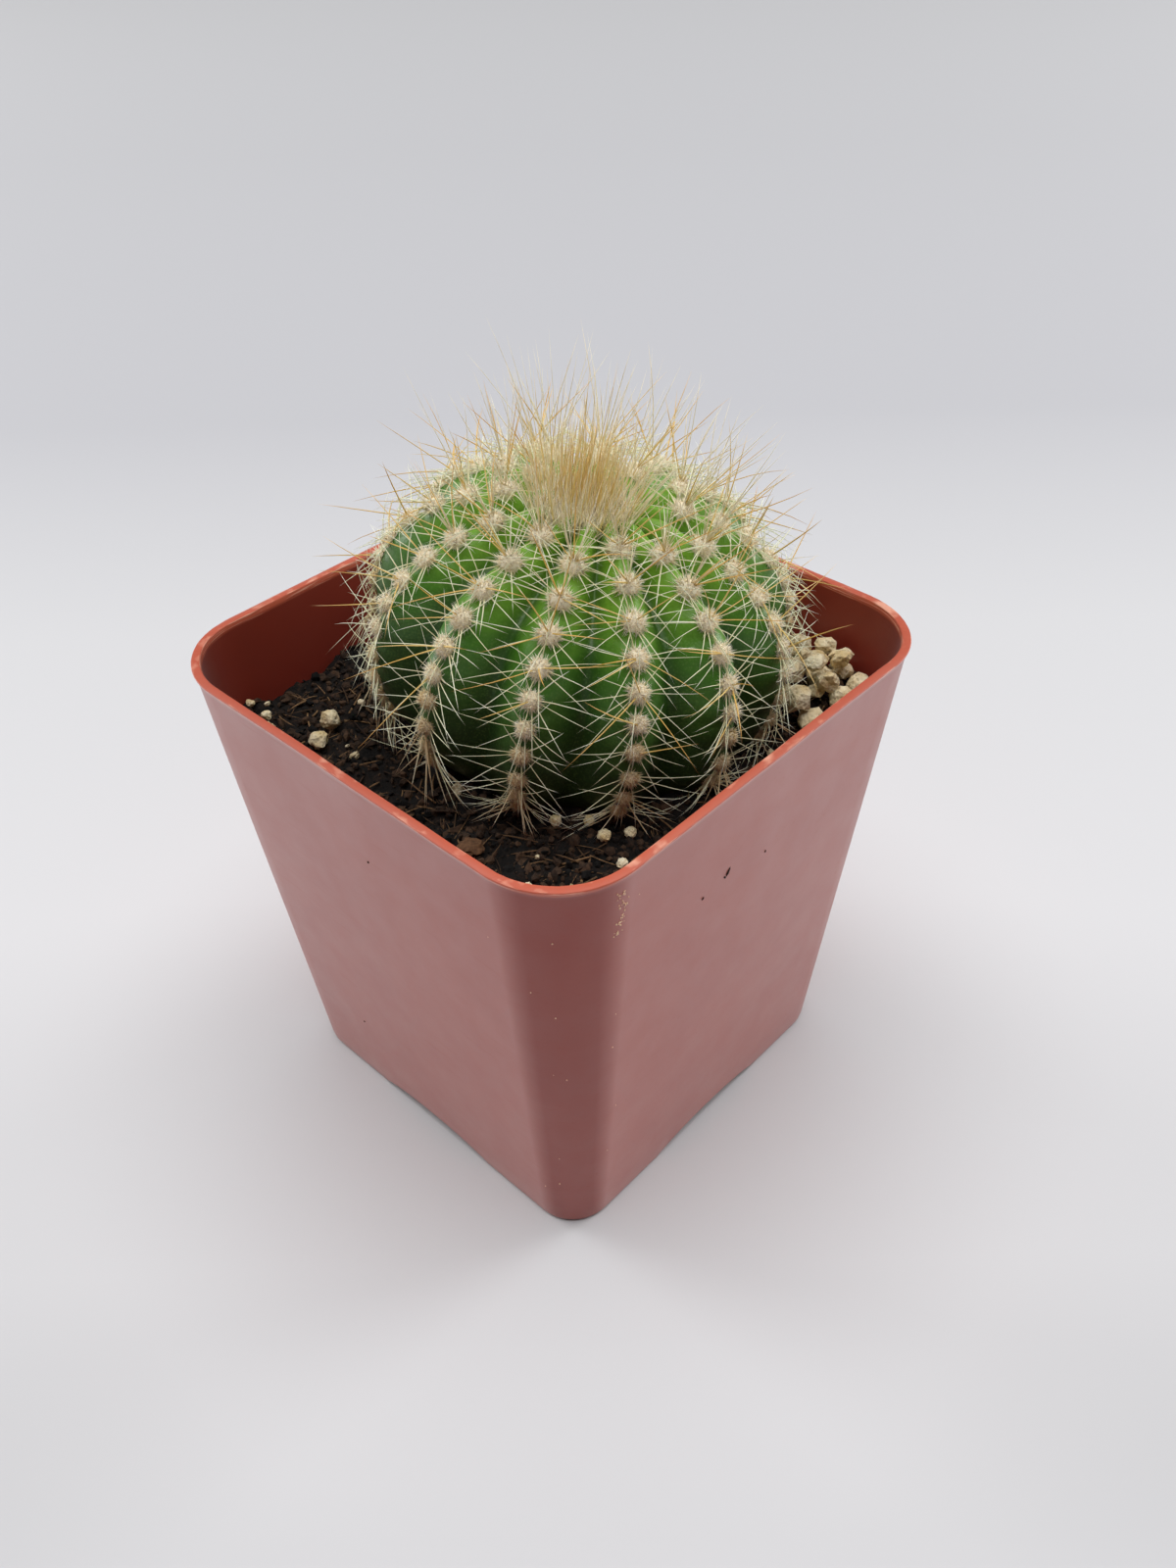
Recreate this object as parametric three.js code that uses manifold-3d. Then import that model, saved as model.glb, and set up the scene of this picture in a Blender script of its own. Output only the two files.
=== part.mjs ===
import * as THREE from 'three';
import { mergeVertices } from 'three/addons/utils/BufferGeometryUtils.js';
import Module from 'manifold-3d';

// Potted round cactus. Millimetres, +Z up. The pot stands on z = 0 with its centre line on the Z axis,
// and its four sides face along X and Y.

// Pot: a thin square shell with rounded corners that narrows towards the base.
const RIM_SIDE = 64;
const RIM_CORNER = 10;
const BASE_SIDE = 51.2;
const BASE_CORNER = 5.6;
const POT_HEIGHT = 64.6;
const WALL = 0.8;
const BEAD = 0.3;
const BEAD_HEIGHT = 1.3;
const FLOOR_LOW = 2;
const FLOOR_THICK = 1;
const SKIRT_WALL = 1.6;
const NOTCH_WIDTH = 20;
const NOTCH_HEIGHT = 1.9;
const DRAIN_RADIUS = 2.5;
const DRAIN_OFFSET = 16;
const CORNER_STEPS = 6;

// Soil: fills the pot, with an uneven top that rises under the pumice in one corner.
const CLEARANCE = 0.3;
const SOIL_LEVEL = 53.1;
const SOIL_GRID = 22;
const SEAT_GAP = 0.12;
const HEAP = { x: 24, y: -20.5, height: 2.6, spread: 7.5 };

// Plant: a ribbed globe that leans slightly and stands a little off the pot's centre.
const PLANT_X = 4.2;
const PLANT_Y = -0.6;
const PLANT_Z = 64.7;
const LEAN_DEG = 9.7;
const LEAN_TOWARDS_DEG = -73;
const RIBS = 13;
const RIB_PHASE_DEG = 14.3;
const COLUMNS_PER_RIB = 4;
const ROWS = 26;
const RADIUS = 23.9;
const RISE = 17.1;
const DROP = 18.1;
const FULLNESS = 2.2;
const GROOVE_AT_CROWN = 0.24;
const GROOVE_AT_WAIST = 0.15;
const SAG = 2.2;
const DIMPLE_DEPTH = 1.2;
const DIMPLE_RADIUS = 4;
const AREOLES_PER_RIB = 10;
const FIRST_AREOLE_ROW = 3;
const FIRST_AREOLE_DEG = 17.1;
const AREOLE_STEP_DEG = 11.9;
const AREOLE_NARROWING_DEG = 0.18;
const SPIRAL_STEP = 5;
const AREOLE_LIFT = 0.7;

// Spines: three-sided needles that stand on their areole, and the needles of the crown's tuft.
const SPINE_RADIUS = 0.2;
const SPINE_ROOT = 1.1;
const ROOT_PULL = 0.72;
const SPINE_INSET = 0.12;
const SPARE_FACE = 5;
const RADIAL_LENGTH = [5.5, 7.5];
const CENTRAL_LENGTH = [9, 14];
const CENTRAL_AREOLES = 4;
const FULL_AREOLES = 3;
const CROWN_SPINES = 24;
const CROWN_RADIUS = 4.2;
const CROWN_SINK = 1.6;
const CROWN_SPREAD = [0.08, 0.42];
const GOLDEN_ANGLE = 2.399963;
const CROWN_LENGTH = [10, 21];
const RADIAL_LIFT = [0.35, 0.7];
const CENTRAL_TILT = 0.25;
const TURN_STEP = 0.16;
const SHORTER = 0.95;
const SPINE_APART = 0.42;
const SPINE_TRIES = 24;
const SPINE_CLEARANCE = 0.55;
const SPINE_LIMIT = RIM_SIDE / 2 - 0.4;

// Roots: a taproot and a few side roots below the globe.
const ROOT_DEPTH = 22;
const ROOT_RADIUS = 3.4;
const SIDE_ROOTS = 5;
const SIDE_ROOT_RADIUS = 0.8;
const SIDE_ROOT_LENGTH = 13;
const SIDE_ROOT_LEVEL = -23;
const SIDE_ROOT_DROOP = 0.45;
const SOCKET_GAP = 0.45;
const SOCKET_MOUTH_GAP = 2;

const wasm = await Module();
wasm.setup();

// Seeded draws, so that the part is the same each time.
function seededDraw(seed) {
  let state = seed;
  return (low = 0, high = 1) => {
    state = (state + 0x6d2b79f5) | 0;
    let t = Math.imul(state ^ (state >>> 15), 1 | state);
    t = (t + Math.imul(t ^ (t >>> 7), 61 | t)) ^ t;
    return low + (high - low) * (((t ^ (t >>> 14)) >>> 0) / 4294967296);
  };
}

const mix = (a, b, t) => a + (b - a) * t;

function toSolid(geometry) {
  const bare = geometry.index ? geometry.toNonIndexed() : geometry.clone();
  bare.deleteAttribute('normal');
  bare.deleteAttribute('uv');
  const merged = mergeVertices(bare, 1e-4);
  return new wasm.Manifold(new wasm.Mesh({
    numProp: 3,
    vertProperties: Float32Array.from(merged.attributes.position.array),
    triVerts: Uint32Array.from(merged.index.array),
  }));
}

// The one body of a fused plant: hollows that fusing sealed are filled and loose scraps are dropped.
function mainBody(solid) {
  return solid.decompose().reduce((best, piece) => (piece.volume() > best.volume() ? piece : best));
}

function toGeometry(solid) {
  const mesh = solid.getMesh();
  const geometry = new THREE.BufferGeometry();
  geometry.setAttribute('position', new THREE.BufferAttribute(Float32Array.from(mesh.vertProperties), 3));
  geometry.setIndex(Array.from(mesh.triVerts));
  return geometry;
}

function makeMesh(name, geometry, color, roughness) {
  const material = new THREE.MeshStandardMaterial({ color, roughness, metalness: 0 });
  const mesh = new THREE.Mesh(geometry, material);
  mesh.name = name;
  return mesh;
}

function roundedSquare(side, corner) {
  const half = side / 2;
  const inner = half - corner;
  const shape = new THREE.Shape();
  shape.moveTo(half, -inner);
  shape.lineTo(half, inner);
  shape.absarc(inner, inner, corner, 0, Math.PI / 2, false);
  shape.lineTo(-inner, half);
  shape.absarc(-inner, inner, corner, Math.PI / 2, Math.PI, false);
  shape.lineTo(-half, -inner);
  shape.absarc(-inner, -inner, corner, Math.PI, Math.PI * 1.5, false);
  shape.lineTo(inner, -half);
  shape.absarc(inner, -inner, corner, Math.PI * 1.5, Math.PI * 2, false);
  return shape;
}

// Side and corner radius of the pot's outside at a height, drawn in by an inset.
function potSection(z, inset) {
  const t = z / POT_HEIGHT;
  return {
    side: mix(BASE_SIDE, RIM_SIDE - 2 * BEAD, t) - 2 * inset,
    corner: Math.max(mix(BASE_CORNER, RIM_CORNER, t) - inset, 0.6),
  };
}

// A block that follows the pot's taper between two heights, drawn in by an inset.
function taperedBlock(zLow, zHigh, inset) {
  const low = potSection(zLow, inset);
  const high = potSection(zHigh, inset);
  const geometry = new THREE.ExtrudeGeometry(roundedSquare(high.side, high.corner), {
    depth: zHigh - zLow, bevelEnabled: false, curveSegments: CORNER_STEPS,
  });
  const position = geometry.attributes.position;
  const highCentre = high.side / 2 - high.corner;
  const lowCentre = low.side / 2 - low.corner;
  const narrowed = (value) => {
    const sign = Math.sign(value);
    return sign * lowCentre + (value - sign * highCentre) * (low.corner / high.corner);
  };
  for (let i = 0; i < position.count; i += 1) {
    if (position.getZ(i) < 1e-6) {
      position.setX(i, narrowed(position.getX(i)));
      position.setY(i, narrowed(position.getY(i)));
    }
  }
  return toSolid(geometry.translate(0, 0, zLow));
}

// The pot: shell, beaded rim, raised floor with drain holes, notched skirt.
function makePot() {
  const bead = taperedBlock(POT_HEIGHT - BEAD_HEIGHT, POT_HEIGHT, -BEAD);
  let pot = taperedBlock(0, POT_HEIGHT, 0).add(bead);
  pot = pot.subtract(taperedBlock(FLOOR_LOW + FLOOR_THICK, POT_HEIGHT + 1, WALL));
  pot = pot.subtract(taperedBlock(-1, FLOOR_LOW, SKIRT_WALL));
  const arch = new THREE.Shape();
  arch.moveTo(NOTCH_WIDTH / 2, -1);
  arch.absellipse(0, 0, NOTCH_WIDTH / 2, NOTCH_HEIGHT, 0, Math.PI, false, 0);
  arch.lineTo(-NOTCH_WIDTH / 2, -1);
  const length = BASE_SIDE + 10;
  const tunnel = new THREE.ExtrudeGeometry(arch, { depth: length, bevelEnabled: false, curveSegments: 8 });
  tunnel.translate(0, 0, -length / 2).rotateX(Math.PI / 2);
  pot = pot.subtract(toSolid(tunnel));
  pot = pot.subtract(toSolid(tunnel.clone().rotateZ(Math.PI / 2)));
  const places = [[0, 0], [DRAIN_OFFSET, 0], [-DRAIN_OFFSET, 0], [0, DRAIN_OFFSET], [0, -DRAIN_OFFSET]];
  for (const [x, y] of places) {
    const drill = new THREE.CylinderGeometry(DRAIN_RADIUS, DRAIN_RADIUS, 4, 12);
    drill.rotateX(Math.PI / 2).translate(x, y, FLOOR_LOW + FLOOR_THICK / 2);
    pot = pot.subtract(toSolid(drill));
  }
  return makeMesh('pot', toGeometry(pot), 0xa9604c, 0.45);
}

// Height of the uneven top of the soil.
function soilHeight(x, y) {
  const lumps = 0.6 * Math.sin(x * 0.37 + 1.1) * Math.cos(y * 0.31) + 0.35 * Math.sin(x * 0.83 + y * 0.71);
  const away = ((x - HEAP.x) ** 2 + (y - HEAP.y) ** 2) / HEAP.spread ** 2;
  return SOIL_LEVEL + lumps + HEAP.height * Math.exp(-away);
}

const SOIL_SPAN = RIM_SIDE;
const SOIL_CELL = SOIL_SPAN / SOIL_GRID;

// Height of the soil's faceted top at a place: the higher of the two ways that its grid cell may be split.
function facetHeight(x, y) {
  const column = (x + SOIL_SPAN / 2) / SOIL_CELL;
  const row = (y + SOIL_SPAN / 2) / SOIL_CELL;
  const u = column - Math.floor(column);
  const v = row - Math.floor(row);
  const corner = (i, j) => soilHeight(
    (Math.floor(column) + i) * SOIL_CELL - SOIL_SPAN / 2,
    (Math.floor(row) + j) * SOIL_CELL - SOIL_SPAN / 2,
  );
  const [a, b, c, d] = [corner(0, 0), corner(1, 0), corner(0, 1), corner(1, 1)];
  const falling = u + v < 1 ? a + u * (b - a) + v * (c - a) : d + (1 - u) * (c - d) + (1 - v) * (b - d);
  const rising = u > v ? a + u * (b - a) + v * (d - b) : a + v * (c - a) + u * (d - c);
  return Math.max(falling, rising);
}

// Highest point of the soil's top under a round patch, so that what stands there stays clear of it.
function soilCrest(x, y, radius) {
  let crest = facetHeight(x, y);
  for (let k = 0; k < 8; k += 1) {
    const angle = (k * Math.PI) / 4;
    crest = Math.max(crest, facetHeight(x + radius * Math.cos(angle), y + radius * Math.sin(angle)));
  }
  return crest;
}

// Radius and height of the globe's rib crests at an angle down from the crown.
function globeProfile(fromCrown) {
  const power = 2 / FULLNESS;
  const out = Math.abs(Math.sin(fromCrown)) ** power;
  const up = Math.cos(fromCrown);
  const height = up > 0 ? RISE : DROP;
  return { radius: RADIUS * out, z: height * Math.sign(up) * Math.abs(up) ** power };
}

// How far down its rib the first areole stands, in ranks. Areoles form in a spiral, each one five ribs on
// from the one before, so that neighbouring ribs are out of step.
function spiralOffset(rib) {
  return ((SPIRAL_STEP * rib) % RIBS) / RIBS;
}

// Angle down from the crown of an areole by its rank: the older ones stand closer together.
function areoleAngle(rank) {
  const degrees = FIRST_AREOLE_DEG + AREOLE_STEP_DEG * rank - AREOLE_NARROWING_DEG * rank ** 2;
  return THREE.MathUtils.degToRad(degrees);
}

// Angle down from the crown of each row of vertices: every second row carries areoles.
function rowAngle(row, offset) {
  const rank = (row - FIRST_AREOLE_ROW) / 2;
  const lastRank = AREOLES_PER_RIB - 1;
  if (rank <= 0) return areoleAngle(offset) * (row / FIRST_AREOLE_ROW);
  if (rank <= lastRank) return areoleAngle(rank + offset);
  const below = (rank - lastRank) / ((ROWS - FIRST_AREOLE_ROW) / 2 - lastRank);
  return mix(areoleAngle(lastRank + offset), Math.PI, below);
}

// The spiral offset of a column of vertices, which passes from one rib's to the next across the groove.
function columnOffset(column) {
  const rib = Math.floor(column / COLUMNS_PER_RIB);
  return mix(spiralOffset(rib), spiralOffset((rib + 1) % RIBS), (column % COLUMNS_PER_RIB) / COLUMNS_PER_RIB);
}

// Depth of the grooves as a share of the radius: deep near the crown, gone below the soil.
function grooveDepth(fromCrown) {
  const t = (2 * fromCrown) / Math.PI;
  if (t < 1) return mix(GROOVE_AT_CROWN, GROOVE_AT_WAIST, t);
  return Math.max(0, mix(GROOVE_AT_WAIST, 0, (t - 1) * 2));
}

// Point of the ribbed globe. Along is 0 on a crest and PI in the groove beside it.
function globePoint(fromCrown, around, along) {
  const { radius, z } = globeProfile(fromCrown);
  const ridge = Math.abs(Math.cos(along / 2));
  const r = radius * (1 - grooveDepth(fromCrown) * (1 - ridge));
  const sag = fromCrown < 1 ? SAG * (1 - ridge) * Math.sin(fromCrown * Math.PI) : 0;
  const dimple = DIMPLE_DEPTH * Math.exp(-((radius / DIMPLE_RADIUS) ** 2));
  return new THREE.Vector3(r * Math.cos(around), r * Math.sin(around), z - sag - dimple);
}

function isAreoleRow(row) {
  const step = (row - FIRST_AREOLE_ROW) / 2;
  return Number.isInteger(step) && step >= 0 && step < AREOLES_PER_RIB;
}

// The rise of an areole's woolly cushion out of the rib's crest.
function liftAt(fromCrown, around) {
  const away = new THREE.Vector3(Math.cos(around), Math.sin(around), 0).multiplyScalar(Math.sin(fromCrown));
  return away.setZ(Math.cos(fromCrown)).multiplyScalar(AREOLE_LIFT);
}

// The bare globe: a sphere's grid moved onto the ribbed form, with one rise for each areole.
function makeGlobe() {
  const columns = RIBS * COLUMNS_PER_RIB;
  const geometry = new THREE.SphereGeometry(1, columns, ROWS).rotateX(Math.PI / 2);
  const position = geometry.attributes.position;
  for (let i = 0; i < position.count; i += 1) {
    const row = Math.floor(i / (columns + 1));
    const column = (i % (columns + 1)) % columns;
    const turn = row === 0 || row === ROWS ? 0 : (column / columns) * Math.PI * 2;
    const fromCrown = rowAngle(row, columnOffset(column));
    const point = globePoint(fromCrown, turn, turn * RIBS);
    if (column % COLUMNS_PER_RIB === 0 && isAreoleRow(row)) point.add(liftAt(fromCrown, turn));
    position.setXYZ(i, point.x, point.y, point.z);
  }
  geometry.deleteAttribute('normal');
  geometry.deleteAttribute('uv');
  return mergeVertices(geometry, 1e-4);
}

// Taproot and side roots, each thicker by a margin: the same shape makes the socket in the soil.
function makeRoots(margin) {
  const neck = -DROP + 4;
  const tip = -DROP - ROOT_DEPTH;
  const profile = [
    new THREE.Vector2(0, tip - margin),
    new THREE.Vector2(0.7 + margin, tip - margin),
    new THREE.Vector2(ROOT_RADIUS * 0.6 + margin, tip + ROOT_DEPTH * 0.45),
    new THREE.Vector2(ROOT_RADIUS + margin, -DROP),
    new THREE.Vector2(ROOT_RADIUS + 1 + margin, neck),
    new THREE.Vector2(0, neck),
  ];
  let roots = toSolid(new THREE.LatheGeometry(profile, 10).rotateX(Math.PI / 2));
  for (let k = 0; k < SIDE_ROOTS; k += 1) {
    const length = SIDE_ROOT_LENGTH + margin;
    const [tipRadius, rootRadius] = [SIDE_ROOT_RADIUS / 2 + margin, SIDE_ROOT_RADIUS + margin];
    const limb = new THREE.CylinderGeometry(tipRadius, rootRadius, length, 6);
    limb.translate(0, length / 2, 0).rotateZ(-Math.PI / 2 - SIDE_ROOT_DROOP);
    limb.rotateX(Math.PI / 2).rotateZ((k * 2 * Math.PI) / SIDE_ROOTS);
    limb.translate(0, 0, SIDE_ROOT_LEVEL);
    roots = roots.add(toSolid(limb));
  }
  return roots;
}

// A smooth shape just larger than the globe, which leaves the socket in the soil.
function makeSocket() {
  const profile = [];
  const steps = 14;
  for (let i = 0; i <= steps; i += 1) {
    const angle = mix(Math.PI, Math.PI * 0.42, i / steps);
    const { radius, z } = globeProfile(angle);
    const margin = mix(SOCKET_GAP, SOCKET_MOUTH_GAP, (i / steps) ** 2);
    const outward = new THREE.Vector2(Math.sin(angle), Math.cos(angle)).multiplyScalar(margin);
    profile.push(new THREE.Vector2(i === 0 ? 0 : radius + outward.x, z + outward.y));
  }
  profile.push(new THREE.Vector2(0, profile[profile.length - 1].y));
  const bowl = toSolid(new THREE.LatheGeometry(profile, RIBS * COLUMNS_PER_RIB).rotateX(Math.PI / 2));
  return bowl.add(makeRoots(SOCKET_GAP));
}

const leanAxis = new THREE.Vector3(0, 1, 0).applyAxisAngle(
  new THREE.Vector3(0, 0, 1),
  THREE.MathUtils.degToRad(LEAN_TOWARDS_DEG),
);
const lean = new THREE.Quaternion().setFromAxisAngle(leanAxis, THREE.MathUtils.degToRad(LEAN_DEG));
lean.multiply(new THREE.Quaternion().setFromAxisAngle(
  new THREE.Vector3(0, 0, 1),
  THREE.MathUtils.degToRad(RIB_PHASE_DEG),
));
const plantPose = new THREE.Matrix4().compose(
  new THREE.Vector3(PLANT_X, PLANT_Y, PLANT_Z),
  lean,
  new THREE.Vector3(1, 1, 1),
);

function makeSoil() {
  const low = FLOOR_LOW + FLOOR_THICK + CLEARANCE;
  const body = taperedBlock(low, POT_HEIGHT - 1, WALL + CLEARANCE);
  const height = SOIL_LEVEL;
  const slab = new THREE.BoxGeometry(SOIL_SPAN, SOIL_SPAN, height, SOIL_GRID, SOIL_GRID, 1);
  slab.translate(0, 0, height / 2);
  const position = slab.attributes.position;
  for (let i = 0; i < position.count; i += 1) {
    if (position.getZ(i) > height - 1e-3) position.setZ(i, soilHeight(position.getX(i), position.getY(i)));
  }
  const socket = toSolid(toGeometry(makeSocket()).applyMatrix4(plantPose));
  const soil = body.intersect(toSolid(slab)).subtract(socket);
  return makeMesh('soil', toGeometry(soil), 0x2c2019, 0.95);
}

// Loose stones and chips on the soil: place, radius, and how flat each one is.
const PUMICE = [
  [25.6, -17.1, 2.0], [22.0, -25.3, 1.9], [27.0, -21.9, 1.7], [23.7, -21.1, 1.9], [26.9, -12.7, 1.7],
  [18.6, -27.3, 1.6], [-19.0, 18.6, 1.7], [-22.2, 17.0, 1.5], [-25.2, 23.0, 1.5],
];
const PERLITE = [
  [-13.7, -13.2, 0.9], [-11.2, -15.8, 0.8], [-12.2, -19.0, 1.0], [-9.6, -20.4, 0.9], [-14.1, -23.3, 0.8],
];
const BARK = [
  [-22.9, -9.7, 1.8], [-24.9, 2.4, 1.6], [-4.5, -26.4, 1.6], [-21.4, -22.4, 1.7],
];

const grains = [];

function makeGrains(kind, places, flatness, color, seed) {
  const draw = seededDraw(seed);
  return places.map(([x, y, radius], number) => {
    const geometry = toGeometry(toSolid(new THREE.DodecahedronGeometry(radius, 0)));
    const position = geometry.attributes.position;
    for (let i = 0; i < position.count; i += 1) {
      const swell = draw(0.82, 1);
      const [x0, y0, z0] = [position.getX(i), position.getY(i), position.getZ(i) * flatness];
      position.setXYZ(i, x0 * swell, y0 * swell, z0 * swell);
    }
    geometry.rotateZ(draw(0, Math.PI));
    geometry.computeBoundingBox();
    const seat = soilCrest(x, y, radius * 0.6) + SEAT_GAP;
    geometry.translate(x, y, seat - geometry.boundingBox.min.z);
    grains.push({ centre: new THREE.Vector3(x, y, seat + radius * flatness), radius });
    return makeMesh(`${kind}_${number + 1}`, toGeometry(toSolid(geometry)), color, 0.9);
  });
}

// Outward measure of how far a point is past the pot's inner wall, negative inside it.
function pastWall(point) {
  if (point.z > POT_HEIGHT) return Math.max(Math.abs(point.x), Math.abs(point.y)) - SPINE_LIMIT;
  const { side, corner } = potSection(point.z, WALL);
  const centre = side / 2 - corner;
  const dx = Math.max(Math.abs(point.x) - centre, 0);
  const dy = Math.max(Math.abs(point.y) - centre, 0);
  return Math.hypot(dx, dy) - corner + SPINE_CLEARANCE;
}

function blocked(rootLocal, direction, length) {
  for (let k = 3; k <= 10; k += 1) {
    const point = rootLocal.clone().addScaledVector(direction, (length * k) / 10).applyMatrix4(plantPose);
    if (pastWall(point) > 0) return true;
    if (point.z < soilCrest(point.x, point.y, 0.1) + SPINE_CLEARANCE) return true;
    if (grains.some(({ centre, radius }) => centre.distanceTo(point) < radius + SPINE_CLEARANCE)) return true;
  }
  return false;
}

const laid = [];

// Whether a spine's line passes closer to one already laid than two needles are thick.
function crosses(line) {
  return laid.some((other) => line.distanceSqToLine3(other) < SPINE_APART ** 2);
}

// A clear line for a spine from its root. It is turned upwards, step by step, off walls, soil and stones,
// and aside off other spines, and left out where it finds no clear way.
function laySpine(root, direction, length, draw) {
  const up = new THREE.Vector3(0, 0, 1);
  const heading = direction.clone().normalize();
  let reach = length;
  for (let tries = 0; tries < SPINE_TRIES; tries += 1) {
    const line = new THREE.Line3(root.clone(), root.clone().addScaledVector(heading, reach));
    if (blocked(root, heading, reach)) {
      heading.lerp(up, TURN_STEP).normalize();
      reach *= SHORTER;
    } else if (crosses(line)) {
      const aside = new THREE.Vector3(draw(-1, 1), draw(-1, 1), draw(-1, 1));
      heading.addScaledVector(aside, TURN_STEP).normalize();
    } else {
      laid.push(line);
      return line;
    }
  }
  return null;
}

// A needle for the crown: a thin three-sided cone along its line, with its root sunk in the globe.
function makeNeedle(line) {
  const reach = line.distance();
  const heading = line.delta(new THREE.Vector3()).normalize();
  const needle = new THREE.ConeGeometry(SPINE_RADIUS, reach + SPINE_ROOT, 3, 1);
  needle.translate(0, (reach + SPINE_ROOT) / 2 - SPINE_ROOT, 0);
  needle.applyQuaternion(new THREE.Quaternion().setFromUnitVectors(new THREE.Vector3(0, 1, 0), heading));
  return toSolid(needle.translate(line.start.x, line.start.y, line.start.z));
}

// Draws the spines out of the faces round each areole: each face is inset, and the inset is pulled out to
// a point. The first face of an areole near the crown carries its long central spine.
function raiseSpines(globe, draw) {
  const position = globe.attributes.position;
  const corners = [];
  for (let i = 0; i < position.count; i += 1) corners.push(new THREE.Vector3().fromBufferAttribute(position, i));
  const faces = [];
  const index = globe.index.array;
  for (let i = 0; i < index.length; i += 3) faces.push([index[i], index[i + 1], index[i + 2]]);
  const kept = new Set(faces);
  const raised = [];
  for (const { at, out, rank } of allAreoles()) {
    const peak = corners.findIndex((corner) => corner.distanceTo(at) < 0.05);
    const round = faces.filter((face) => face.includes(peak));
    round.forEach((face, number) => {
      if (rank >= FULL_AREOLES && number === SPARE_FACE) return;
      const centre = new THREE.Vector3();
      for (const corner of face) {
        centre.addScaledVector(corners[corner], corner === peak ? ROOT_PULL : (1 - ROOT_PULL) / 2);
      }
      const central = rank < CENTRAL_AREOLES && number === 0;
      const away = centre.clone().sub(at).projectOnPlane(out).normalize();
      const heading = central
        ? away.multiplyScalar(CENTRAL_TILT).add(out)
        : away.addScaledVector(out, draw(...RADIAL_LIFT));
      const length = draw(...(central ? CENTRAL_LENGTH : RADIAL_LENGTH));
      const line = laySpine(centre, heading, length, draw);
      if (line === null) return;
      const first = corners.length;
      for (const corner of face) corners.push(centre.clone().lerp(corners[corner], SPINE_INSET));
      const tip = corners.push(line.end) - 1;
      for (let k = 0; k < 3; k += 1) {
        const next = (k + 1) % 3;
        raised.push([face[k], face[next], first + next], [face[k], first + next, first + k]);
        raised.push([first + k, first + next, tip]);
      }
      kept.delete(face);
    });
  }
  const geometry = new THREE.BufferGeometry().setFromPoints(corners);
  geometry.setIndex([...kept, ...raised].flat());
  return geometry;
}

// Every areole, rib by rib from the crown down: its place, and the direction straight out of the rib.
function allAreoles() {
  const areoles = [];
  for (let rib = 0; rib < RIBS; rib += 1) {
    const around = (rib * 2 * Math.PI) / RIBS;
    for (let rank = 0; rank < AREOLES_PER_RIB; rank += 1) {
      const angle = areoleAngle(rank + spiralOffset(rib));
      const at = globePoint(angle, around, 0).add(liftAt(angle, around));
      const down = globePoint(angle + 0.03, around, 0).sub(globePoint(angle - 0.03, around, 0)).normalize();
      const out = down.cross(new THREE.Vector3(-Math.sin(around), Math.cos(around), 0)).normalize();
      areoles.push({ at, out, rank });
    }
  }
  return areoles;
}

// The tuft of young spines that stands in the middle of the crown, spread by the golden angle.
function crownNeedles(draw) {
  const needles = [];
  for (let k = 0; k < CROWN_SPINES; k += 1) {
    const share = (k + 0.5) / CROWN_SPINES;
    const angle = k * GOLDEN_ANGLE;
    const radius = CROWN_RADIUS * Math.sqrt(share);
    const root = new THREE.Vector3(radius * Math.cos(angle), radius * Math.sin(angle), RISE - CROWN_SINK);
    const spread = mix(...CROWN_SPREAD, share);
    const heading = new THREE.Vector3(spread * Math.cos(angle), spread * Math.sin(angle), 1);
    const line = laySpine(root, heading, draw(...CROWN_LENGTH), draw);
    if (line !== null) needles.push(makeNeedle(line));
  }
  return needles;
}

function makeCactus() {
  const draw = seededDraw(41);
  const globe = toSolid(raiseSpines(makeGlobe(), draw));
  const solids = [globe, makeRoots(0), ...crownNeedles(draw)];
  return makeMesh('cactus', toGeometry(mainBody(wasm.Manifold.union(solids))), 0x3c7a3a, 0.6);
}

const pottedCactus = new THREE.Group();
pottedCactus.add(makePot());
pottedCactus.add(makeSoil());
pottedCactus.add(...makeGrains('pumice', PUMICE, 0.85, 0xd8c8a4, 7));
pottedCactus.add(...makeGrains('perlite', PERLITE, 0.9, 0xe6dcc0, 11));
pottedCactus.add(...makeGrains('bark', BARK, 0.45, 0x4a3222, 19));

const plant = new THREE.Group();
plant.add(makeCactus());
plant.applyMatrix4(plantPose);
pottedCactus.add(plant);

export default pottedCactus;
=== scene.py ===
"""Potted round cactus: the finished surfaces of the pot, the peat, the stones and the plant."""

import logging
import math
import random
from dataclasses import dataclass, field
from enum import Enum
from typing import Any, Sequence

import bpy
import numpy as np
from mathutils import Matrix, Vector, noise


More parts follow.
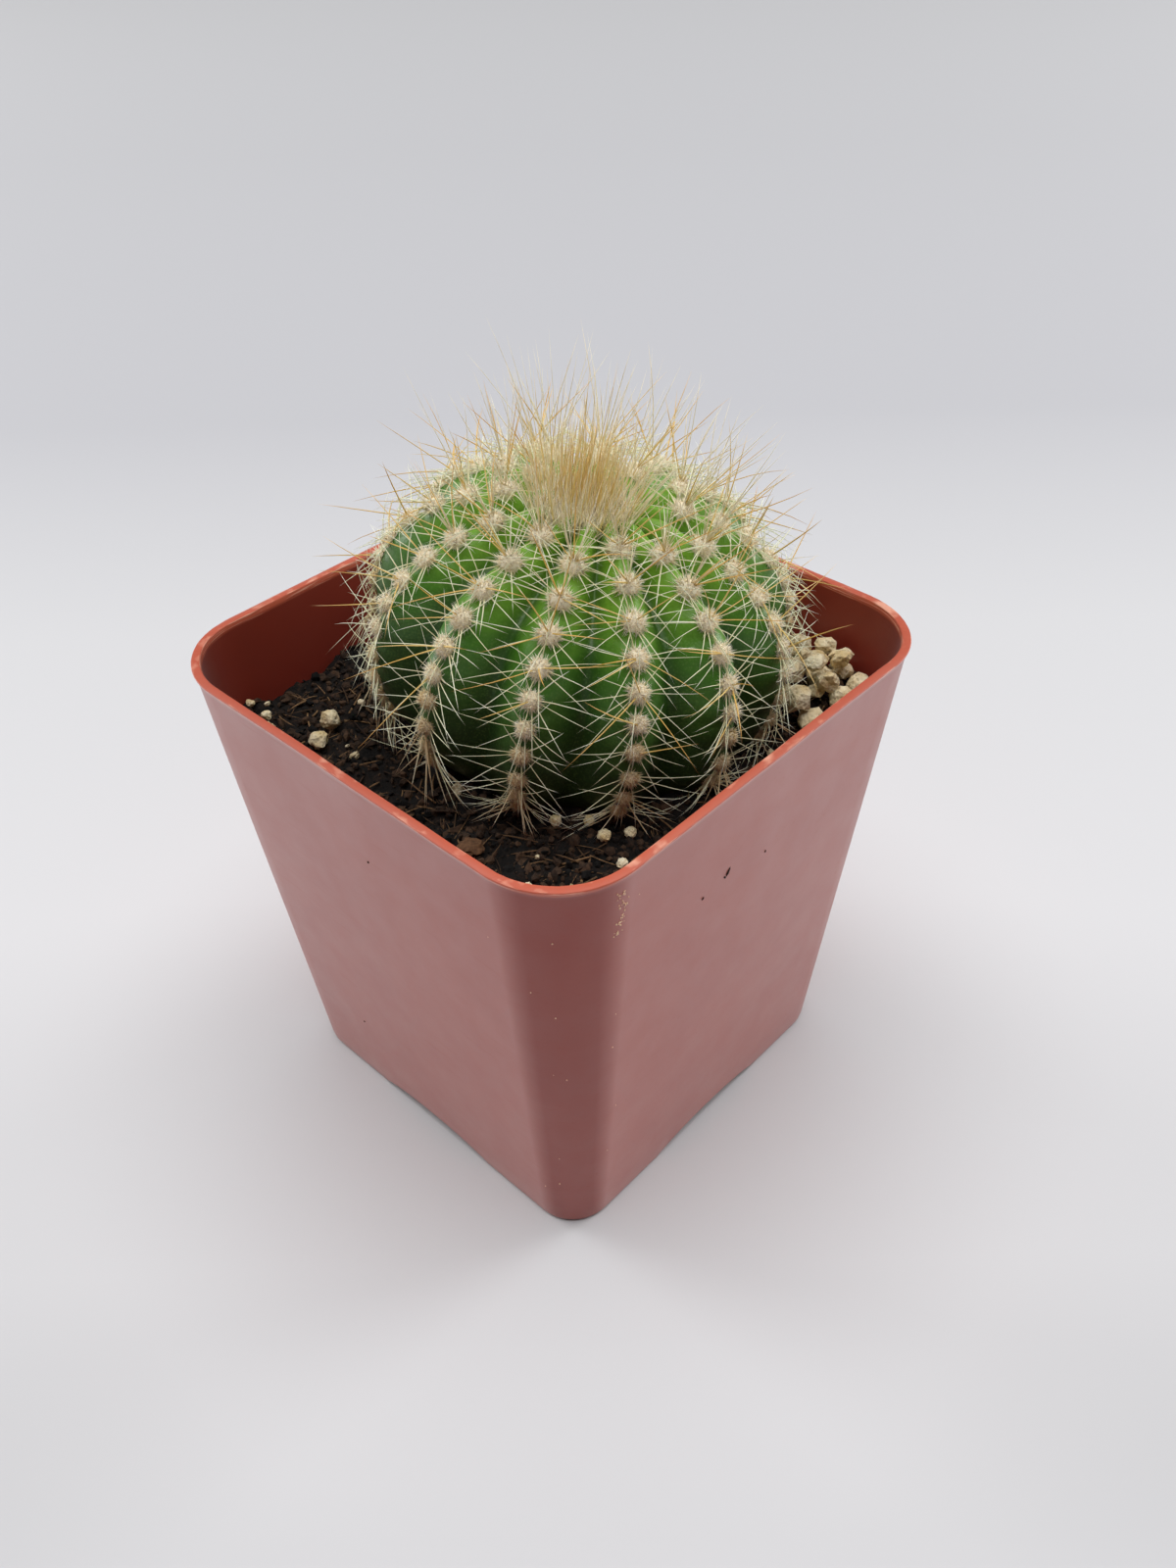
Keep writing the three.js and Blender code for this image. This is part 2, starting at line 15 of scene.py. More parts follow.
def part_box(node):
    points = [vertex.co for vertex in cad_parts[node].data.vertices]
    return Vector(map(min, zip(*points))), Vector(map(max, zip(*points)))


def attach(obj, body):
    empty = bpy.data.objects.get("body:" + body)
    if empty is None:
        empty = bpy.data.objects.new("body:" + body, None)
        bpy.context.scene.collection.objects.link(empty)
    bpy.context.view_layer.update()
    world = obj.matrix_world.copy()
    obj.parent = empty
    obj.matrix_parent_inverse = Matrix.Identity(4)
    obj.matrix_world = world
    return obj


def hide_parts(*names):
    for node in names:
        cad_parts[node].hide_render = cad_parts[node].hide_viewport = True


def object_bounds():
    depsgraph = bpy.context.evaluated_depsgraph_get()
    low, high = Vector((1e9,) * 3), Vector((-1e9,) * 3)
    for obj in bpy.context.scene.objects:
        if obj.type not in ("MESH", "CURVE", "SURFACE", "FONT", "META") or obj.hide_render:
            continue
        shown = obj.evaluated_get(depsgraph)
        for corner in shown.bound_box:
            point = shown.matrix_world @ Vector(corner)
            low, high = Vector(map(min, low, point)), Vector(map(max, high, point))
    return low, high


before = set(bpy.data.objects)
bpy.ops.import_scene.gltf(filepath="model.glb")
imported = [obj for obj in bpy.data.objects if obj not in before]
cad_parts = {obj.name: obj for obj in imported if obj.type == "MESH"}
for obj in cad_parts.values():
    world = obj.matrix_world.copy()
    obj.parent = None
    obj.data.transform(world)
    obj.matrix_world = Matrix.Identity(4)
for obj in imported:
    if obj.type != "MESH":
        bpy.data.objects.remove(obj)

LOG = logging.getLogger("potted_cactus")
CAD_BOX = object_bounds()
MM = 0.001
GOLDEN_TURN = 2.399963  # the golden angle in radians, by which fibres are spread evenly
CAMERA_YAW_DEG = 46.31  # the camera's turn about the pot, which the floor's tones follow too


class Slot(Enum):
    """The record's material slots."""

    POT = "pot"
    SOIL = "soil"
    PLANT = "plant"
    STONE = "stone"
    BARK = "bark"


def srgb(code: str) -> tuple[float, float, float, float]:
    """Turns an sRGB hex colour into linear RGBA.

    Args:
        code: Six hex digits after a hash.

    Returns:
        The colour as Blender's shader sockets take it.
    """
    parts = [int(code[i:i + 2], 16) / 255 for i in (1, 3, 5)]
    linear = [c / 12.92 if c <= 0.04045 else ((c + 0.055) / 1.055) ** 2.4 for c in parts]
    return (linear[0], linear[1], linear[2], 1.0)


def per_mm(size: float) -> float:
    """Gives the texture scale, on Object coordinates in metres, of a pattern of a size in millimetres."""
    return 1.0 / (size * MM)


def add_node(tree: bpy.types.NodeTree, kind: str, settings: dict[str, Any] | None = None,
             inputs: dict[Any, Any] | None = None) -> bpy.types.Node:
    """Adds one shader node with its settings and links.

    Args:
        tree: The material's node tree.
        kind: The node's type name.
        settings: Attributes to set on the node.
        inputs: Values or output sockets for its inputs, by name or number.

    Returns:
        The new node.
    """
    node = tree.nodes.new(kind)
    for name, value in (settings or {}).items():
        setattr(node, name, value)
    for name, value in (inputs or {}).items():
        if isinstance(value, bpy.types.NodeSocket):
            tree.links.new(value, node.inputs[name])
        else:
            node.inputs[name].default_value = value
    return node


def set_stops(ramp: bpy.types.Node, stops: Sequence[tuple[float, str]]) -> bpy.types.NodeSocket:
    """Sets the stops of a colour ramp.

    Args:
        ramp: The ramp node.
        stops: Places from 0 to 1 with their sRGB hex colours.

    Returns:
        The ramp's colour output.
    """
    elements = ramp.color_ramp.elements
    while len(elements) < len(stops):
        elements.new(0.5)
    for element, (place, code) in zip(elements, stops):
        element.position = place
        element.color = srgb(code)
    return ramp.outputs["Color"]


@dataclass(frozen=True)
class Finish:
    """A finish that starts from a plain principled shader."""

    name: str
    roughness: float = 0.5
    ior: float = 1.5

    def build(self) -> bpy.types.Material:
        """Makes the material.

        Returns:
            The finished material.
        """
        material = bpy.data.materials.new(self.name)
        material.use_nodes = True
        tree = material.node_tree
        tree.nodes.clear()
        shader = add_node(tree, "ShaderNodeBsdfPrincipled",
                          inputs={"Roughness": self.roughness, "IOR": self.ior})
        output = add_node(tree, "ShaderNodeOutputMaterial")
        tree.links.new(shader.outputs["BSDF"], output.inputs["Surface"])
        place = add_node(tree, "ShaderNodeTexCoord").outputs["Object"]
        self.dress(tree, shader, place)
        return material

    def dress(self, tree: bpy.types.NodeTree, shader: bpy.types.Node, place: bpy.types.NodeSocket) -> None:
        """Links the finish's colour, roughness and relief to the shader."""

    @staticmethod
    def grain(tree: bpy.types.NodeTree, place: bpy.types.NodeSocket, size: float, detail: float = 3.0,
              roughness: float = 0.55) -> bpy.types.NodeSocket:
        """Adds a noise of a real size in millimetres and returns its value output.

        Args:
            tree: The node tree.
            place: Object coordinates.
            size: The size of its grain in millimetres.
            detail: How many finer layers it has.
            roughness: How strongly the finer layers show.

        Returns:
            The noise's value output.
        """
        made = add_node(tree, "ShaderNodeTexNoise", {"noise_dimensions": "3D"},
                        {"Vector": place, "Scale": per_mm(size), "Detail": detail, "Roughness": roughness})
        return made.outputs["Fac"]

    @staticmethod
    def spread(tree: bpy.types.NodeTree, value: bpy.types.NodeSocket, low: float, high: float,
               to_low: float = 0.0, to_high: float = 1.0) -> bpy.types.NodeSocket:
        """Maps a value from one range to another, clamped, and returns the result.

        Args:
            tree: The node tree.
            value: The value to spread.
            low: The value that gives the lower result.
            high: The value that gives the higher result.
            to_low: The lower result.
            to_high: The higher result.

        Returns:
            The value output.
        """
        made = add_node(tree, "ShaderNodeMapRange", {"clamp": True},
                        {"Value": value, "From Min": low, "From Max": high,
                         "To Min": to_low, "To Max": to_high})
        return made.outputs["Result"]

    @staticmethod
    def stored(tree: bpy.types.NodeTree, attribute: str) -> bpy.types.NodeSocket:
        """Reads a number that the mesh stores under a name."""
        return add_node(tree, "ShaderNodeAttribute", {"attribute_name": attribute}).outputs["Fac"]

    @staticmethod
    def maths(tree: bpy.types.NodeTree, kind: str, *numbers: Any) -> bpy.types.NodeSocket:
        """Works out one operation on numbers or outputs."""
        return add_node(tree, "ShaderNodeMath", {"operation": kind}, dict(enumerate(numbers))).outputs[0]

    @staticmethod
    def cells(tree: bpy.types.NodeTree, place: bpy.types.NodeSocket, size: float) -> bpy.types.NodeSocket:
        """Adds cells of a real size in millimetres and returns the distance from their middles.

        Args:
            tree: The node tree.
            place: Object coordinates.
            size: The size of its grain in millimetres.

        Returns:
            The distance output.
        """
        made = add_node(tree, "ShaderNodeTexVoronoi", {"feature": "F1"},
                        {"Vector": place, "Scale": per_mm(size)})
        return made.outputs["Distance"]

    @staticmethod
    def blend(tree: bpy.types.NodeTree, share: Any, first: Any, second: Any) -> bpy.types.NodeSocket:
        """Mixes two colours by a share and returns the colour."""
        made = add_node(tree, "ShaderNodeMix", {"data_type": "RGBA"}, {0: share, 6: first, 7: second})
        return made.outputs[2]

    @staticmethod
    def relief(tree: bpy.types.NodeTree, height: bpy.types.NodeSocket, depth: float, strength: float,
               under: bpy.types.NodeSocket | None = None) -> bpy.types.NodeSocket:
        """Adds a bump of a depth in millimetres and returns its normal.

        Args:
            tree: The node tree.
            height: The output to read as height.
            depth: The relief's depth in millimetres.
            strength: How strongly it shows.
            under: A normal to build on, or None.

        Returns:
            The normal output.
        """
        inputs: dict[Any, Any] = {"Height": height, "Distance": depth * MM, "Strength": strength}
        if under is not None:
            inputs["Normal"] = under
        return add_node(tree, "ShaderNodeBump", inputs=inputs).outputs["Normal"]


@dataclass(frozen=True)
class SatinPolypropylene(Finish):
    """Injection-moulded polypropylene: even terracotta, hazy on its flats, scuffed, with painted shade at the
    corners and inside, and painted light and painted glints on the lip.
    """

    colour: str = "#A23C28"
    pale: str = "#A6422E"
    # The deep colour is the painted shade of the corners and the inside.
    deep: str = "#7A221A"
    # The lip's brighter colour is painted light, and the glint colour paints its highlights.
    painted_lip_light: str = "#C25A40"
    glint: str = "#EDA98E"
    lip: float = 0.0646
    lip_fade: tuple[float, float] = (0.0009, 0.0005)
    film: float = 0.1
    film_spread: float = 0.4
    haze: float = 1.0
    haze_corner: float = 0.22
    haze_spread: float = 0.4
    painted_corner_shade: float = 0.45

    def dress(self, tree: bpy.types.NodeTree, shader: bpy.types.Node, place: bpy.types.NodeSocket) -> None:
        """Links faint clouding, painted shade at the corners and inside, the haze of the flats, the lip's
        painted light and painted glint lines, scuffs and orange peel.

        Args:
            tree: The node tree.
            shader: The principled shader.
            place: Object coordinates.
        """
        # Faint clouding, and painted shade: a deeper red at the corners and inside, where the mesh stores no
        # flat.
        cloud = self.grain(tree, place, 14, 2)
        colour = self.blend(tree, self.spread(tree, cloud, 0.35, 0.65), srgb(self.colour), srgb(self.pale))
        flat = self.stored(tree, "flat")
        shade = self.spread(tree, flat, 0.0, 1.0, self.painted_corner_shade, 0.0)
        colour = self.blend(tree, shade, colour, srgb(self.deep))
        haze = self.spread(tree, flat, 0.0, 1.0, self.haze_corner, self.haze)
        tree.links.new(haze, shader.inputs["Coat Weight"])
        # The lip is painted brighter, as painted light, and pale lines of painted glint run round it, raised
        # a little as relief.
        height = add_node(tree, "ShaderNodeSeparateXYZ", inputs={"Vector": place}).outputs["Z"]
        lip = self.spread(tree, height, self.lip - self.lip_fade[0], self.lip - self.lip_fade[1])
        colour = self.blend(tree, lip, colour, srgb(self.painted_lip_light))
        layers = add_node(tree, "ShaderNodeMapping", inputs={"Vector": place, "Scale": (0.12, 0.12, 3.0)})
        line = self.spread(tree, self.grain(tree, layers.outputs["Vector"], 0.5, 3), 0.53, 0.66, 0.0, 0.9)
        line = self.maths(tree, "MULTIPLY", line, lip)
        colour = self.blend(tree, line, colour, srgb(self.glint))
        tree.links.new(colour, shader.inputs["Base Color"])
        # Long scuffs and patches of finger wear change only how sharply the wall shines.
        scuff = add_node(tree, "ShaderNodeMapping", inputs={"Vector": place, "Rotation": (0.5, 0.9, 0.3),
                                                           "Scale": (1.0, 0.06, 1.0)}).outputs["Vector"]
        streak = self.spread(tree, self.grain(tree, scuff, 0.5, 2), 0.62, 0.75)
        rough = self.spread(tree, self.grain(tree, place, 5, 3), 0.3, 0.7,
                            self.roughness - 0.05, self.roughness + 0.07)
        rough = self.maths(tree, "MULTIPLY_ADD", streak, 0.08, rough)
        tree.links.new(rough, shader.inputs["Roughness"])
        shader.inputs["Sheen Weight"].default_value = self.film
        shader.inputs["Sheen Roughness"].default_value = self.film_spread
        shader.inputs["Coat Roughness"].default_value = self.haze_spread
        peel = self.relief(tree, self.grain(tree, place, 0.7, 2), 0.02, 0.3)
        tree.links.new(self.relief(tree, line, 0.06, 0.7, peel), shader.inputs["Normal"])


@dataclass(frozen=True)
class DampPeat(Finish):
    """Damp milled peat: near black, with brown crumbs and fibres, matt."""

    def dress(self, tree: bpy.types.NodeTree, shader: bpy.types.Node, place: bpy.types.NodeSocket) -> None:
        """Links crumb colours from noise and a coarse relief.

        Args:
            tree: The node tree.
            shader: The principled shader.
            place: Object coordinates.
        """
        crumb = self.grain(tree, place, 1.1, 6, 0.65)
        colour = set_stops(add_node(tree, "ShaderNodeValToRGB", inputs={"Fac": crumb}),
                           ((0.32, "#040302"), (0.5, "#0D0805"), (0.6, "#1E130C"), (0.74, "#442E1E")))
        tree.links.new(colour, shader.inputs["Base Color"])
        tree.links.new(self.relief(tree, crumb, 0.5, 0.9), shader.inputs["Normal"])


@dataclass(frozen=True)
class TintedFibre(Finish):
    """Wood fibre, bark or peat crumbs: each bit has its own tint between two browns."""

    dark: str = "#1A100A"
    light: str = "#5A3E28"

    def dress(self, tree: bpy.types.NodeTree, shader: bpy.types.Node, place: bpy.types.NodeSocket) -> None:
        """Links the tint of each bit and a fine fibre grain.

        Args:
            tree: The node tree.
            shader: The principled shader.
            place: Object coordinates.
        """
        tint = self.stored(tree, "tint")
        grain = self.grain(tree, place, 0.4, 4)
        share = self.maths(tree, "MULTIPLY", tint, grain)
        colour = self.blend(tree, self.spread(tree, share, 0.08, 0.5), srgb(self.dark), srgb(self.light))
        tree.links.new(colour, shader.inputs["Base Color"])
        tree.links.new(self.relief(tree, grain, 0.15, 0.6), shader.inputs["Normal"])


@dataclass(frozen=True)
class PorousStone(Finish):
    """Pumice and perlite: pale cream volcanic glass foam, full of small pits, dusty and matt."""

    pale: str = "#E9DEC0"
    warm: str = "#D2B884"
    pit: str = "#A08A62"
    pore: float = 0.45

    def dress(self, tree: bpy.types.NodeTree, shader: bpy.types.Node, place: bpy.types.NodeSocket) -> None:
        """Links mottled cream, darker pores and their relief.

        Args:
            tree: The node tree.
            shader: The principled shader.
            place: Object coordinates.
        """
        cloud = self.spread(tree, self.grain(tree, place, 2.2, 4), 0.35, 0.68)
        colour = self.blend(tree, cloud, srgb(self.pale), srgb(self.warm))
        cells = self.cells(tree, place, self.pore)
        pores = self.spread(tree, cells, 0.12, 0.38, 0.75, 0.0)
        colour = self.blend(tree, pores, colour, srgb(self.pit))
        tree.links.new(colour, shader.inputs["Base Color"])
        tree.links.new(self.relief(tree, cells, 0.2, 0.8), shader.inputs["Normal"])


@dataclass(frozen=True)
class WaxySkin(Finish):
    """Cactus epidermis: waxy green with a fine grain, bright on young ribs, dark bluish green low down partly
    as painted shade, with painted shade in the grooves.
    """

    young: str = "#7CAE34"
    grown: str = "#477B1E"
    old: str = "#33502A"
    groove: str = "#1B3A12"
    pebble: str = "#7FA352"
    pebble_size: float = 0.32

    def dress(self, tree: bpy.types.NodeTree, shader: bpy.types.Node, place: bpy.types.NodeSocket) -> None:
        """Links the colours of age and grooves that the mesh carries, partly painted shade low down and
        painted shade in the grooves, and the pebbled grain of the skin.

        Args:
            tree: The node tree.
            shader: The principled shader.
            place: Object coordinates.
        """
        # The age ramp darkens the skin downwards: partly its own age tone, partly painted shade low down.
        age = self.stored(tree, "age")
        ridge = self.stored(tree, "ridge")
        cloud = self.grain(tree, place, 6, 3)
        shifted = self.maths(tree, "MULTIPLY_ADD", cloud, 0.22, age)
        colour = set_stops(add_node(tree, "ShaderNodeValToRGB", inputs={"Fac": shifted}),
                           ((0.2, self.young), (0.5, self.grown), (0.86, self.old)))
        # Painted shade: the grooves are mixed towards a dark green.
        deep = self.spread(tree, ridge, 0.05, 0.6, 0.75, 0.0)
        colour = self.blend(tree, deep, colour, srgb(self.groove))
        pebble = self.cells(tree, place, self.pebble_size)
        dots = self.spread(tree, pebble, 0.1, 0.5, 0.2, 0.0)
        colour = self.blend(tree, dots, colour, srgb(self.pebble))
        tree.links.new(colour, shader.inputs["Base Color"])
        fine = self.relief(tree, pebble, 0.05, 0.5)
        tree.links.new(self.relief(tree, cloud, 0.4, 0.3, fine), shader.inputs["Normal"])


@dataclass(frozen=True)
class Keratin(Finish):
    """Spine or wool: a fibre whose colour runs from its root to its tip, each one tinted a little."""

    root: str = "#E8DDBE"
    middle: str = "#DCE0C0"
    tip: str = "#EDE8CF"
    other: str = "#C9B58A"
    glow: float = 0.0
    fuzz: float = 0.0
    fuzz_tint: tuple[float, float, float, float] = (1.0, 0.87, 0.66, 1.0)
    glow_reach: tuple[float, float, float] = (0.0006, 0.0005, 0.0003)

    def dress(self, tree: bpy.types.NodeTree, shader: bpy.types.Node, place: bpy.types.NodeSocket) -> None:
        """Links the run of colour along the fibre and the tint of each.

        Args:
            tree: The node tree.
            shader: The principled shader.
            place: Object coordinates.
        """
        along = self.stored(tree, "along")
        tint = self.stored(tree, "tint")
        colour = set_stops(add_node(tree, "ShaderNodeValToRGB", inputs={"Fac": along}),
                           ((0.0, self.root), (0.45, self.middle), (1.0, self.tip)))
        colour = self.blend(tree, tint, colour, srgb(self.other))
        fleck = self.spread(tree, self.grain(tree, place, 0.8, 3), 0.3, 0.75, 0.0, 0.3)
        colour = self.blend(tree, fleck, colour, srgb(self.other))
        tree.links.new(colour, shader.inputs["Base Color"])
        shader.inputs["Sheen Weight"].default_value = self.fuzz
        shader.inputs["Sheen Tint"].default_value = self.fuzz_tint
        shader.inputs["Subsurface Weight"].default_value = self.glow
        shader.inputs["Subsurface Radius"].default_value = self.glow_reach


def deselect() -> None:
    """Leaves object mode's selection empty."""
    if bpy.context.object is not None and bpy.context.object.mode != "OBJECT":
        bpy.ops.object.mode_set(mode="OBJECT")
    bpy.ops.object.select_all(action="DESELECT")


def name_piece(name: str) -> bpy.types.Object:
    """Names the active object and its mesh, and returns it.

    Args:
        name: The piece's name.

    Returns:
        The object.
    """
    made = bpy.context.object
    made.name = name
    made.data.name = name
    return made


def settle(piece: bpy.types.Object, slot: Slot, *nodes: str) -> bpy.types.Object:
    """Rides a finished piece on the one body, hides the solids that it replaces, and logs its faces.

    Args:
        piece: The finished piece, with its place in its mesh.
        slot: The record's slot for its finish; not used.
        nodes: The solids that it replaces.

    Returns:
        The piece.
    """
    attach(piece, "root")
    if nodes:
        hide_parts(*nodes)
    LOG.info("%s: %d faces", piece.name, len(piece.data.polygons))
    return piece


def coordinates(mesh: bpy.types.Mesh) -> np.ndarray:
    """Reads a mesh's vertices as an array of rows.

    Args:
        mesh: The mesh.

    Returns:
        One row of three coordinates in metres for each vertex.
    """
    flat = np.empty(len(mesh.vertices) * 3, np.float32)
    mesh.vertices.foreach_get("co", flat)
    return flat.reshape(-1, 3).astype(float)


def move_vertices(mesh: bpy.types.Mesh, places: np.ndarray) -> None:
    """Writes a mesh's vertices from an array of rows."""
    mesh.vertices.foreach_set("co", places.astype(np.float32).ravel())
    mesh.update()


def write_attribute(mesh: bpy.types.Mesh, name: str, values: np.ndarray) -> None:
    """Stores one number for each vertex under a name."""
    layer = mesh.attributes.new(name, "FLOAT", "POINT")
    layer.data.foreach_set("value", values.astype(np.float32).ravel())


def jitter(draw: random.Random, reach: float) -> Vector:
    """Draws a small step, up to a reach along each axis."""
    return Vector([draw.uniform(-reach, reach) for _ in range(3)])


def model_bit(level: int) -> tuple[np.ndarray, list[tuple[int, ...]]]:
    """Models one round bit of radius 1 to copy.

    Args:
        level: How finely it is divided.

    Returns:
        Its vertices and its faces.
    """
    deselect()
    bpy.ops.mesh.primitive_ico_sphere_add(subdivisions=level, radius=1.0)
    one = bpy.context.object
    shape = coordinates(one.data)
    faces = [tuple(face.vertices) for face in one.data.polygons]
    bpy.data.objects.remove(one)
    return shape, faces


def link_piece(name: str, mesh: bpy.types.Mesh, smooth: bool) -> bpy.types.Object:
    """Puts a mesh into the scene as one piece, with all its faces shaded alike.

    Args:
        name: The piece's name.
        mesh: The mesh.
        smooth: Whether its faces are shaded smooth.

    Returns:
        The new piece, not yet settled.
    """
    mesh.polygons.foreach_set("use_smooth", [smooth] * len(mesh.polygons))
    piece = bpy.data.objects.new(name, mesh)
    bpy.context.scene.collection.objects.link(piece)
    return piece


def write_bits(name: str, bits: Sequence[np.ndarray], faces: Sequence[tuple[int, ...]],
               attributes: dict[str, Sequence[float]], finish: bpy.types.Material,
               smooth: bool = False) -> bpy.types.Object:
    """Writes copies of one bit as one piece.

    Args:
        name: The piece's name.
        bits: Each copy's vertices, in millimetres.
        faces: The faces of one copy.
        attributes: Numbers to store under a name, one for each copy.
        finish: The material.
        smooth: Whether its faces are shaded smooth.

    Returns:
        The new piece, not yet settled.
    """
    step = len(bits[0])
    mesh = bpy.data.meshes.new(name)
    mesh.from_pydata((np.concatenate(bits) * MM).tolist(), [],
                     [tuple(i + k * step for i in face) for k in range(len(bits)) for face in faces])
    for label, values in attributes.items():
        write_attribute(mesh, label, np.repeat(np.array(values), step))
    mesh.materials.append(finish)
    return link_piece(name, mesh, smooth)


@dataclass(frozen=True)
class PotShape:
    """The pot's sizes, in millimetres: a square with rounded corners that widens to the rim."""

    rim_side: float = 64.0
    rim_corner: float = 10.0
    base_side: float = 51.2
    base_corner: float = 5.6
    height: float = 64.6
    wall: float = 0.8
    bead: float = 0.3
    floor_low: float = 2.0
    floor_top: float = 3.0
    skirt: float = 1.6
    notch_half: float = 10.0
    notch_height: float = 1.9
    drain_radius: float = 2.5
    drain_offset: float = 16.0

    def section(self, z: float, inset: float) -> tuple[float, float]:
        """Gives the side and the corner radius at a height, drawn in by an inset.

        Args:
            z: Height in millimetres.
            inset: How far it is drawn in from the outside.

        Returns:
            The side and the corner radius, in millimetres.
        """
        t = z / self.height
        side = self.base_side + (self.rim_side - 2 * self.bead - self.base_side) * t - 2 * inset
        corner = self.base_corner + (self.rim_corner - self.base_corner) * t - inset
        return side, max(corner, 0.6)

    def past_wall(self, x: float, y: float, z: float) -> float:
        """Tells how far a point is past the inside of the wall, negative where it is clear.

        Args:
            x: Place along X in millimetres.
            y: Place along Y in millimetres.
            z: Height in millimetres.

        Returns:
            The distance in millimetres.
        """
        if z > self.height:
            return max(abs(x), abs(y)) - (self.rim_side / 2 - 0.35)
        side, corner = self.section(max(z, 0.0), self.wall)
        centre = side / 2 - corner
        return math.hypot(max(abs(x) - centre, 0.0), max(abs(y) - centre, 0.0)) - corner


@dataclass(frozen=True)
class Pot:
    """The moulded pot: shell, beaded rim, raised floor with drain holes, notched skirt."""

    shape: PotShape
    corner_steps: int = 14
    edge_cuts: int = 22
    smooth_deg: float = 38.0
    trail_specks: int = 46
    stray_specks: int = 16
    speck_radius: tuple[float, float] = (0.05, 0.13)
    waver_from: float = 40.0
    burr_from: float = 61.5
    flat_until_deg: float = 22.0
    flat_fade_deg: float = 20.0

    def stations(self) -> list[tuple[float, float]]:
        """Lists each ring's height and inset, from the floor's top up, over the rim and down the outside.

        Returns:
            Pairs of height and inset, in millimetres.
        """
        s = self.shape
        inside = [(s.floor_top, s.wall + 1.2), (s.floor_top + 0.4, s.wall + 0.35),
                  (s.floor_top + 1.4, s.wall)]
        inside += [(z, s.wall) for z in (15.0, 30.0, 45.0, 56.0, s.height - 1.0)]
        lip = [(s.height - 0.12, s.wall), (s.height - 0.02, s.wall - 0.08), (s.height, s.wall - 0.2),
               (s.height - 0.01, 0.05), (s.height - 0.04, -s.bead + 0.1), (s.height - 0.16, -s.bead + 0.02),
               (s.height - 0.35, -s.bead + 0.06), (s.height - 0.7, -0.08), (s.height - 1.3, 0.0)]
        outside = [(z, 0.0) for z in (56.0, 45.0, 30.0, 15.0, 4.0, 1.0)]
        foot = [(0.3, 0.08), (0.0, 0.45), (0.0, s.skirt - 0.3), (0.3, s.skirt), (s.floor_low, s.skirt)]
        return inside + lip + outside + foot

    def build(self, finish: bpy.types.Material) -> bpy.types.Object:
        """Models the pot by extruding a rounded square from ring to ring, then cuts notches and holes.

        Args:
            finish: The plastic.

        Returns:
            The pot, in its place.
        """
        stations = self.stations()
        side, corner = self.shape.section(*stations[0])
        deselect()
        bpy.ops.mesh.primitive_plane_add(size=side * MM, location=(0, 0, stations[0][0] * MM))
        pot = name_piece("pot_shell")
        bpy.ops.object.transform_apply(location=True, rotation=True, scale=True)
        bpy.ops.object.mode_set(mode="EDIT")
        bpy.ops.mesh.flip_normals()
        bpy.ops.mesh.bevel(affect="VERTICES", offset=corner * MM, offset_type="OFFSET",
                           segments=self.corner_steps, profile=0.5)
        bpy.ops.object.mode_set(mode="OBJECT")
        self.divide_outline()
        self.round_outline(pot, side, corner)
        bpy.ops.object.mode_set(mode="EDIT")
        bpy.ops.mesh.select_all(action="SELECT")
        for (z0, _), (z1, inset) in zip(stations, stations[1:]):
            bpy.ops.mesh.extrude_region_move(TRANSFORM_OT_translate={"value": (0, 0, (z1 - z0) * MM)})
            bpy.ops.object.mode_set(mode="OBJECT")
            self.fit_ring(pot, (side, corner), self.shape.section(z1, inset), z1)
            side, corner = self.shape.section(z1, inset)
            bpy.ops.object.mode_set(mode="EDIT")
        bpy.ops.mesh.select_all(action="SELECT")
        bpy.ops.mesh.normals_make_consistent(inside=False)
        bpy.ops.object.mode_set(mode="OBJECT")
        self.cut_openings(pot)
        self.roughen_rim(pot)
        self.mark_flats(pot)
        pot.data.materials.append(finish)
        deselect()
        pot.select_set(True)
        bpy.context.view_layer.objects.active = pot
        bpy.ops.object.shade_smooth_by_angle(angle=math.radians(self.smooth_deg))
        # The specks are real, but their pale colour is painted glint.
        specks = SatinPolypropylene("Polypropylene_speck_glint", 0.35, 1.5, colour="#E8B08C", pale="#F4D0A8")
        self.raise_specks(specks.build())
        return settle(pot, Slot.POT, "pot")

    def raise_specks(self, finish: bpy.types.Material) -> bpy.types.Object:
        """Raises a trail of tiny specks down the front corner, and a few stray ones, as the mould left them,
        coloured pale as painted glints.

        Args:
            finish: The material.

        Returns:
            The new piece.
        """
        draw = random.Random(41)
        shape, faces = model_bit(1)
        trail = [(draw.gauss(9.0, 2.0), 62.2 - 7.0 * draw.random() ** 1.4) for _ in range(self.trail_specks)]
        strays = [(draw.uniform(-20, 100), draw.uniform(6, 60)) for _ in range(self.stray_specks)]
        bits = []
        for angle, z in trail + strays:
            side, corner = self.shape.section(z, 0.0)
            centre = corner - side / 2
            way = np.array([-math.sin(math.radians(angle)), -math.cos(math.radians(angle)), 0.0])
            spot = np.array([centre, centre, z]) + way * corner
            bits.append(shape * draw.uniform(*self.speck_radius) + spot)
        flats = {"flat": [1.0] * len(bits)}
        return settle(write_bits("mould_specks", bits, faces, flats, finish, True), Slot.POT)

    def divide_outline(self) -> None:
        """Subdivides every edge of the outline, so that the walls can waver and the corners are round."""
        bpy.ops.object.mode_set(mode="EDIT")
        bpy.ops.mesh.select_mode(type="EDGE")
        bpy.ops.mesh.select_all(action="SELECT")
        bpy.ops.mesh.subdivide(number_cuts=self.edge_cuts)
        bpy.ops.mesh.select_mode(type="VERT")
        bpy.ops.object.mode_set(mode="OBJECT")

